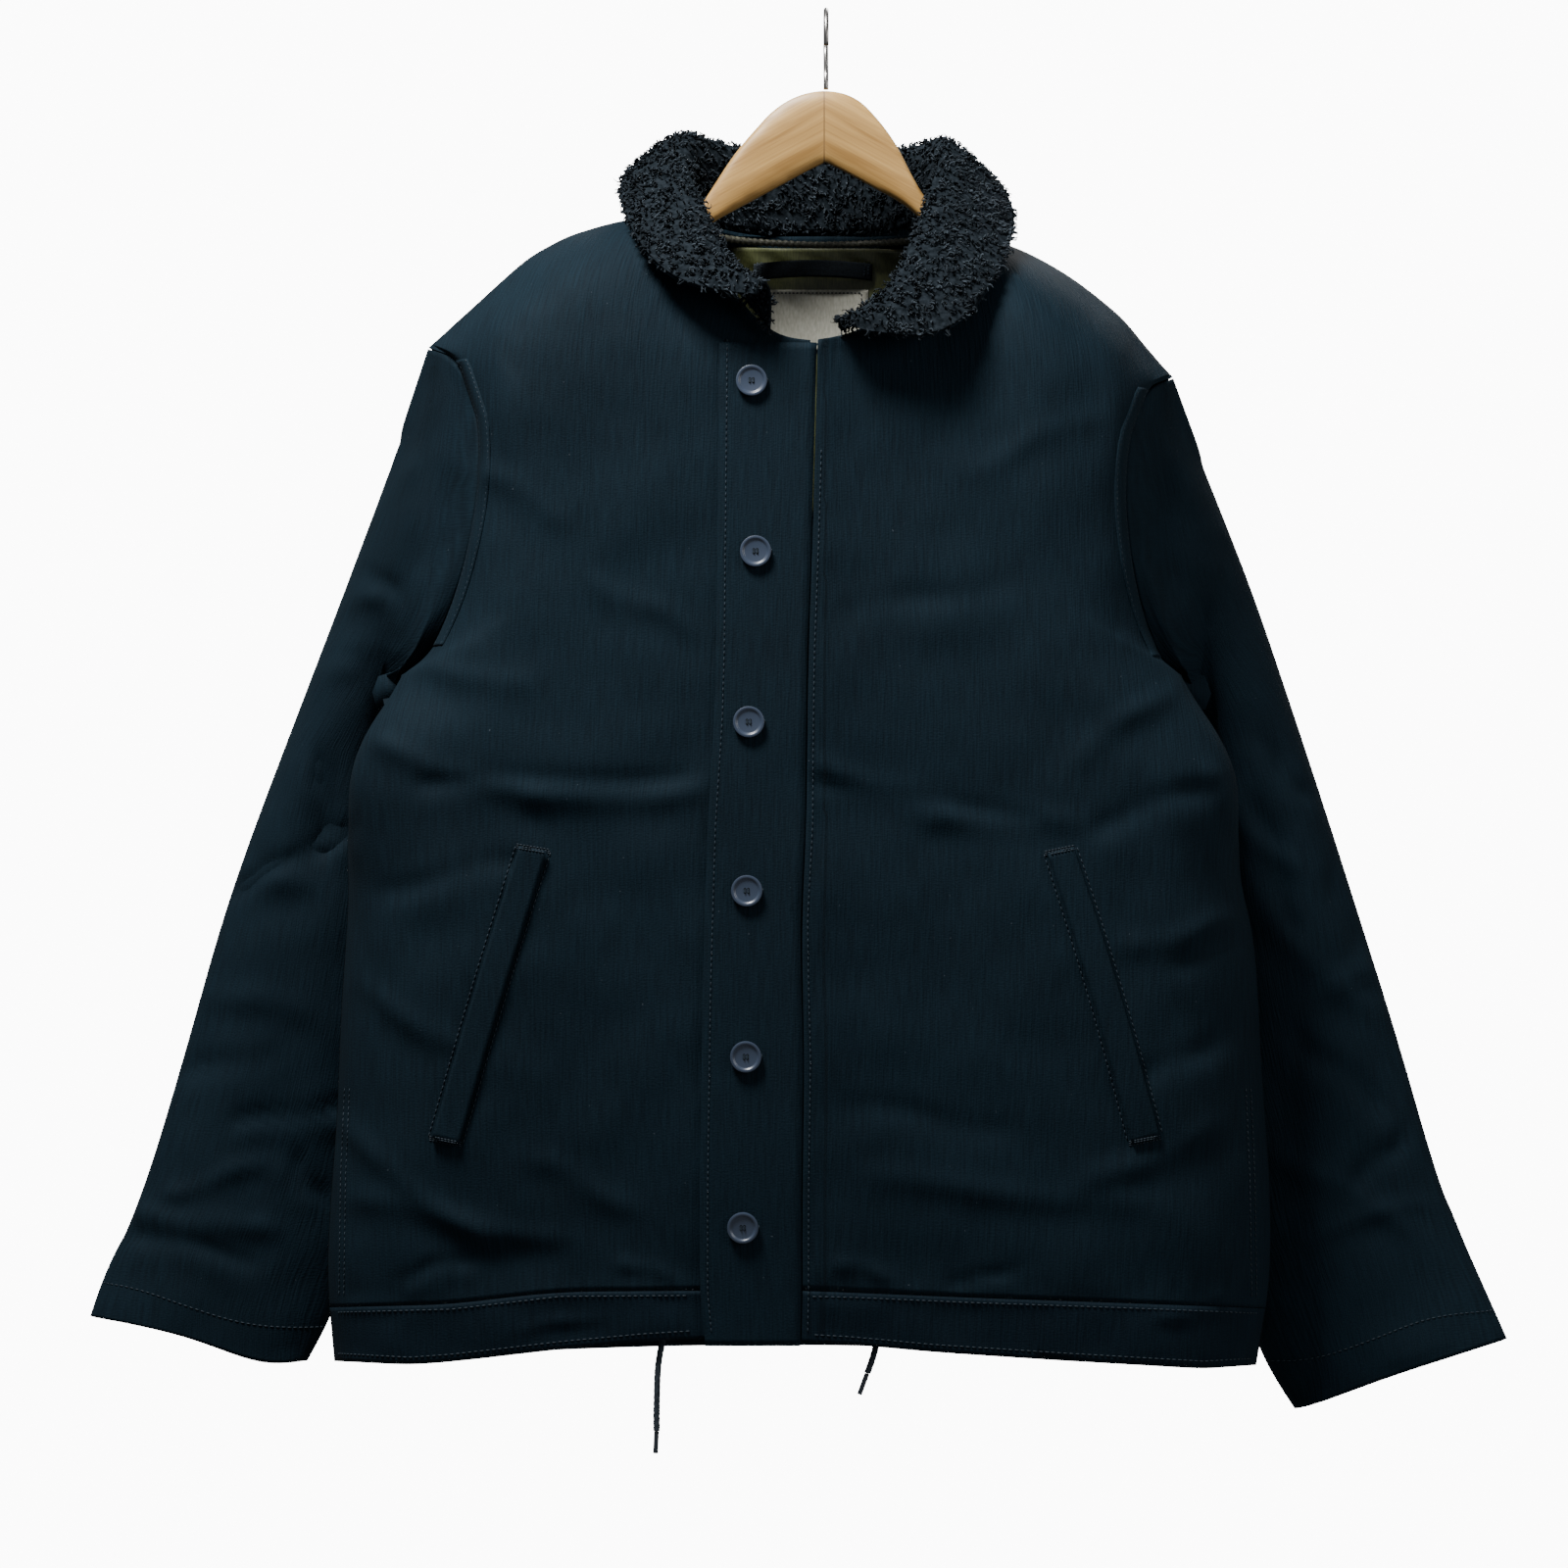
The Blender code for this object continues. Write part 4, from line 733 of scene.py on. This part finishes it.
def strapPiece(name, sections):  # A closed strap through four-cornered sections
    points = [corner for section in sections for corner in section]
    faces = []
    for i in range(len(sections) - 1):
        for k in range(4):
            a, b = i * 4 + k, i * 4 + (k + 1) % 4
            faces.append((a, b, b + 4, a + 4))
    last = (len(sections) - 1) * 4
    faces.append((3, 2, 1, 0))
    faces.append((last, last + 1, last + 2, last + 3))
    piece = meshPiece(name, points, faces)
    work = bmesh.new()
    work.from_mesh(piece.data)
    bmesh.ops.recalc_face_normals(work, faces=work.faces[:])
    work.to_mesh(piece.data)
    work.free()
    girthMap(piece)
    return adopt(piece, shellCloth)


# Seam allowances: inside the hem seam, and in the fold under each arm
for side, line in (("right", [(337.5, 1334), *hemLine]), ("left", [*hemLineLeft, (1290, 1335)])):
    sections = []
    for c, r in between(line):
        above = seenOn(bodyTree, c, r - 7, -0.0010)
        below = seenOn(bodyTree, c, r + 7, -0.0010)
        if above and below and (above[0] - below[0]).length < 0.014:
            inward = Vector((0, 0.0009, 0))
            sections.append([above[0], below[0], below[0] + inward, above[0] + inward])
    strapPiece(f"hem_allowance_{side}", sections)
underarms = {
    # body edge and sleeve edge of the fold, from the top down: column, row, depth mm
    "right": [((430, 676, 6), (386, 690, 12)), ((424, 700, 6), (380, 706, 13)),
              ((404, 722, 5), (384, 724, 11))],
    "left": [((1184, 676, 6), (1230, 690, 12)), ((1190, 702, 6), (1236, 708, 13)),
             ((1210, 722, 5), (1230, 724, 11))],
}
for side, table in underarms.items():
    sections = []
    for body, arm in table:
        a, b = seenAt(*body), seenAt(*arm)
        sections.append([a, b, b + Vector((0, 0.0012, 0)), a + Vector((0, 0.0012, 0))])
    strapPiece(f"underarm_fold_{side}", sections)


# Buttons: a turned disc with a raised rim, four holes painted as near-black discs of shade, and two bars of
# thread
buttonSize = {"radius": 0.0097, "depth": 0.0030, "rim": 0.0016, "step": 0.0011, "sink": 0.0011,
              "hole": 0.00085, "spread": 0.0021, "thread": 0.00055}
placketTree = treeOf(panel["placket"])


def cylinder(radius, depth, place, sides):
    bpy.ops.mesh.primitive_cylinder_add(vertices=sides, radius=radius, depth=depth, location=place)
    return bpy.context.object


def makeButton(number):
    low, high = (Vector(corner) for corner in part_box(f"button_{number}"))
    middle = (low + high) / 2
    size = buttonSize
    spot, normal = placketTree.ray_cast(Vector((middle.x, -1, middle.z)), Vector((0, 1, 0)))[:2]
    if normal.y > 0:
        normal = -normal
    disc = cylinder(size["radius"], size["depth"], (0, 0, 0), 36)
    bpy.ops.object.mode_set(mode="EDIT")
    bpy.ops.mesh.select_all(action="DESELECT")
    work = bmesh.from_edit_mesh(disc.data)
    for face in work.faces:
        face.select_set(face.normal.z > 0.9)
    bmesh.update_edit_mesh(disc.data)
    bpy.ops.mesh.inset(thickness=size["rim"], depth=0)
    bpy.ops.mesh.inset(thickness=size["step"], depth=-size["sink"])
    bpy.ops.object.mode_set(mode="OBJECT")
    bevel = disc.modifiers.new("soft_rim", "BEVEL")
    bevel.width = 0.0004
    bevel.segments = 2
    bevel.limit_method = "ANGLE"
    bpy.ops.object.modifier_apply(modifier="soft_rim")
    disc.data.materials.append(buttonLook)
    parts = [disc]
    floor = size["depth"] / 2 - size["sink"]
    for x in (-1, 1):
        for y in (-1, 1):
            # Each hole is a thin near-black disc: painted shade where the open hole is
            hole = cylinder(size["hole"], 0.0003, (x * size["spread"] / 2, y * size["spread"] / 2, floor), 12)
            hole.data.materials.append(buttonHoleShade)
            parts.append(hole)
        bar = cylinder(size["thread"], size["spread"] * 1.25, (x * size["spread"] / 2, 0, floor + 0.0003), 8)
        bar.rotation_euler = (math.pi / 2, 0, 0)
        bar.data.materials.append(threadLook)
        parts.append(bar)
    bpy.ops.object.select_all(action="DESELECT")
    for part in parts:
        part.select_set(True)
    bpy.context.view_layer.objects.active = disc
    bpy.ops.object.transform_apply(location=True, rotation=True, scale=True)
    bpy.ops.object.join()
    turn = normal.to_track_quat("Z", "Y").to_matrix().to_4x4()
    base = Vector((middle.x, spot.y, middle.z)) + normal * 0.0022
    disc.data.transform(Matrix.Translation(base) @ turn)
    disc.name = f"button_{number}_turned"
    bpy.ops.object.shade_smooth_by_angle(angle=0.6)
    bpy.ops.object.select_all(action="DESELECT")
    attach(disc, "root")
    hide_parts(f"button_{number}")
    column, row = toPhoto(np.array([[middle.x, middle.y, middle.z]]))
    return float(column[0]), float(row[0])


for number in range(1, 7):
    column, row = makeButton(number)
    for end in np.linspace(11.0, 16.5, 5):
        top = seenOn(placketTree, column + end, row - 2.4, 0.0002)
        low = seenOn(placketTree, column + end, row + 2.4, 0.0002)
        if top and low:
            stitchSets["front"].append((top[0], low[0], top[1]))
print("stage: buttons")

# Collar: a dark backing and curly locks of pile over it
collarBase = smoothCopy("collar_pile", "collar_backing", 2)
points, normals = arraysOf(collarBase)
setPoints(collarBase, points - normals * 0.0004)
adopt(collarBase, pileBase, ["collar_pile"])


def pileLocks(source, count, name):
    mesh = source.data
    mesh.calc_loop_triangles()
    triangles = np.array([t.vertices for t in mesh.loop_triangles])
    points, normals = arraysOf(source)
    a, b, c = (points[triangles[:, k]] for k in range(3))
    area = np.linalg.norm(np.cross(b - a, c - a), axis=1) / 2
    pick = dice.choice(len(area), count, p=area / area.sum())
    u = dice.random((count, 2))
    flip = u.sum(1) > 1
    u[flip] = 1 - u[flip]
    root = a[pick] + (b[pick] - a[pick]) * u[:, :1] + (c[pick] - a[pick]) * u[:, 1:]
    up = normals[triangles[pick]].mean(1)
    up /= np.linalg.norm(up, axis=1)[:, None] + 1e-12
    clump = np.array([[noise.noise(Vector(p) / 0.009), noise.noise(Vector(p) / 0.009 + Vector((9, 0, 0))),
                       noise.noise(Vector(p) / 0.009 + Vector((0, 9, 0)))] for p in root])
    lean = dice.normal(0, 0.45, (count, 3)) + clump * 2.2 + np.array([0, 0, -0.35])
    lean -= up * (lean * up).sum(1)[:, None]
    length = dice.uniform(0.0036, 0.0062, count)
    width = dice.uniform(0.00055, 0.00095, count)
    curl = np.cross(up, lean)
    curl /= np.linalg.norm(curl, axis=1)[:, None] + 1e-9
    swing = dice.uniform(-1, 1, count)
    rings = []
    shares = (0.0, 0.4, 0.75)
    for share in (*shares, 1.0):
        rise = up * (0.62 * math.sin(share * 1.9)) + lean * (0.55 * share ** 1.2)
        rise += curl * (swing * 0.9 * math.sin(share * 3.0))[:, None]
        rings.append(root - up * 0.0006 + rise * length[:, None])
    side = curl
    other = np.cross(side, up)
    perLock = 10
    lockShadeAndHighlight = (0.12, 0.12, 0.12, 0.6, 0.6, 0.6, 0.95, 0.95, 0.95, 1.0)  # painted shade at the root, painted highlight at the tip
    verts = np.empty((count, perLock, 3))
    for i, share in enumerate(shares):
        thick = width * (1.0, 1.05, 0.7)[i]
        for k in range(3):
            angle = 2 * math.pi * k / 3 + share * 1.5
            outward = side * math.cos(angle) + other * math.sin(angle)
            verts[:, i * 3 + k] = rings[i] + outward * thick[:, None]
    verts[:, 9] = rings[3]
    # Each lock's tone: a random shade of its own, times painted shade at the root and a painted highlight at
    # the tip
    tone = np.empty((count, perLock))
    body = np.clip(dice.normal(0.42, 0.2, count) + clump[:, 0] * 0.7, 0.03, 1)
    for k in range(perLock):
        tone[:, k] = body * lockShadeAndHighlight[k]
    shape = [(2, 1, 0)]
    for i in range(2):
        for k in range(3):
            p, q = i * 3 + k, i * 3 + (k + 1) % 3
            shape.append((p, q, q + 3, p + 3))
    for k in range(3):
        shape.append((6 + k, 6 + (k + 1) % 3, 9))
    offset = np.arange(count) * perLock
    faces = [tuple(o + i for i in face) for o in offset for face in shape]
    piece = meshPiece(name, verts.reshape(-1, 3), faces)
    layer = piece.data.attributes.new("tone", "FLOAT", "POINT")
    layer.data.foreach_set("value", tone.ravel())
    return piece


collarPile = pileLocks(collarBase, 12000, "collar_locks")
adopt(collarPile, pileLook)
print("stage: pile", len(collarPile.data.polygons))

# Lining, label and loop in the neck
lining = smoothCopy("lining_back", "lining_cloth", 3)
points, normals = arraysOf(lining)
slant = points[:, 0] * 0.8 + points[:, 2] * 0.75
wander = relaxedHeight(points, 0.02, 1.0)
wave = np.sin(slant * 330 + wander * 2.2) * np.clip(0.5 + wander, 0, 1) * 1.5
facing = np.clip(-normals[:, 1] * 1.6 - 0.2, 0, 1)
wave *= facing * rimFade(lining, points) * 0.001
setPoints(lining, points + normals * wave[:, None])
adopt(lining, satinLook, ["lining_back"])
label = adopt(smoothCopy("neck_label", "label_cloth", 2), labelLook, ["neck_label"])
loop = adopt(smoothCopy("locker_loop", "loop_tape", 2), tapeLook, ["locker_loop"])
neckTree = treeOf(lining, label, loop)
for line in ([(784, 299), (879, 299)], [(784, 351), (879, 351)], [(784, 299), (784, 351)],
             [(879, 299), (879, 351)]):
    frontRow(line, neckTree, stitch=0.0016, gap=0.0009)
for column in (773, 777, 882, 886):
    frontRow([(column, 267), (column, 283)], neckTree, stitch=0.0018, gap=0.0002)


def twistedTube(name, path, radius, pitch, lobes, depth, sides=12):
    path = [Vector(p) for p in path]
    rings = []
    side = None
    travelled = 0.0
    for i, p in enumerate(path):
        ahead = (path[min(i + 1, len(path) - 1)] - path[max(i - 1, 0)]).normalized()
        side = (Vector((0, -1, 0)) if side is None else side)
        side = (side - ahead * side.dot(ahead)).normalized()
        other = ahead.cross(side)
        if i:
            travelled += (p - path[i - 1]).length
        for k in range(sides):
            angle = 2 * math.pi * k / sides
            bulge = abs(math.cos((angle - travelled / pitch * 2 * math.pi) * lobes / 2))
            size = radius * (1 - depth + depth * bulge)
            rings.append(p + (side * math.cos(angle) + other * math.sin(angle)) * size)
    faces = []
    for i in range(len(path) - 1):
        for k in range(sides):
            a, b = i * sides + k, i * sides + (k + 1) % sides
            faces.append((a, b, b + sides, a + sides))
    faces.append(tuple(reversed(range(sides))))
    faces.append(tuple((len(path) - 1) * sides + k for k in range(sides)))
    return meshPiece(name, rings, faces)


def smoothRoute(table, count):  # Even points on a smooth curve through a route's own points
    knots = [seenAt(*row) for row in table]
    ends = [knots[0] * 2 - knots[1]] + knots + [knots[-1] * 2 - knots[-2]]
    dense = []
    for i in range(1, len(ends) - 2):
        a, b, c, d = ends[i - 1:i + 3]
        for t in np.linspace(0, 1, 20, endpoint=False):
            dense.append(0.5 * (2 * b + (c - a) * t + (2 * a - 5 * b + 4 * c - d) * t * t
                                + (3 * b - a - 3 * c + d) * t ** 3))
    dense.append(knots[-1])
    dense = np.array(dense)
    reach = np.concatenate([[0], np.cumsum(np.linalg.norm(np.diff(dense, axis=0), axis=1))])
    places = np.linspace(0, reach[-1], count)
    return [[float(np.interp(s, reach, dense[:, k])) for k in range(3)] for s in places], float(reach[-1])


pipingRoute = [(733, 242, 18), (752, 245, 25), (785, 248, 31), (841, 250, 34), (895, 248, 31),
               (925, 246, 24), (945, 244, 15)]
pipingRadius = 0.0024
route = smoothRoute(pipingRoute, 150)[0]
adopt(twistedTube("piping_cord", route, pipingRadius, 0.008, 2, 0.35), pipingLook,
      ["neck_piping"])

cordRoutes = {
    "right": [(677, 1336, -60), (677, 1352, -60), (676, 1368, -61), (673, 1384, -63), (671, 1402, -64),
              (670, 1440, -64), (670, 1460, -64)],
    "left": [(898, 1338, -60), (896, 1354, -60), (894, 1372, -61), (891, 1384, -62), (888, 1393, -63),
             (885, 1401, -63)],
}
for side, table in cordRoutes.items():
    route, routeLength = smoothRoute(table, 90)
    drawstring = twistedTube(f"drawstring_{side}_cord", route, 0.0022, 0.012, 3, 0.14, 14)
    adopt(drawstring, cordLook, [f"drawstring_{side}"])
    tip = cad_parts[f"drawstring_tip_{side}"]
    tip.data.materials.clear()
    tip.data.materials.append(tipLook)
print("stage: cords")

# Hanger and hook
adopt(smoothCopy("hanger", "hanger_arms", 2), woodLook, ["hanger"])
adopt(smoothCopy("hanger_hook", "hook_wire", 1), steelLook, ["hanger_hook"])

threads = {}
for kind, stitches in stitchSets.items():
    if stitches:
        threads[kind] = threadPiece(f"{kind}_stitching", stitches)
print("stage: threads", {k: len(v) for k, v in stitchSets.items()})
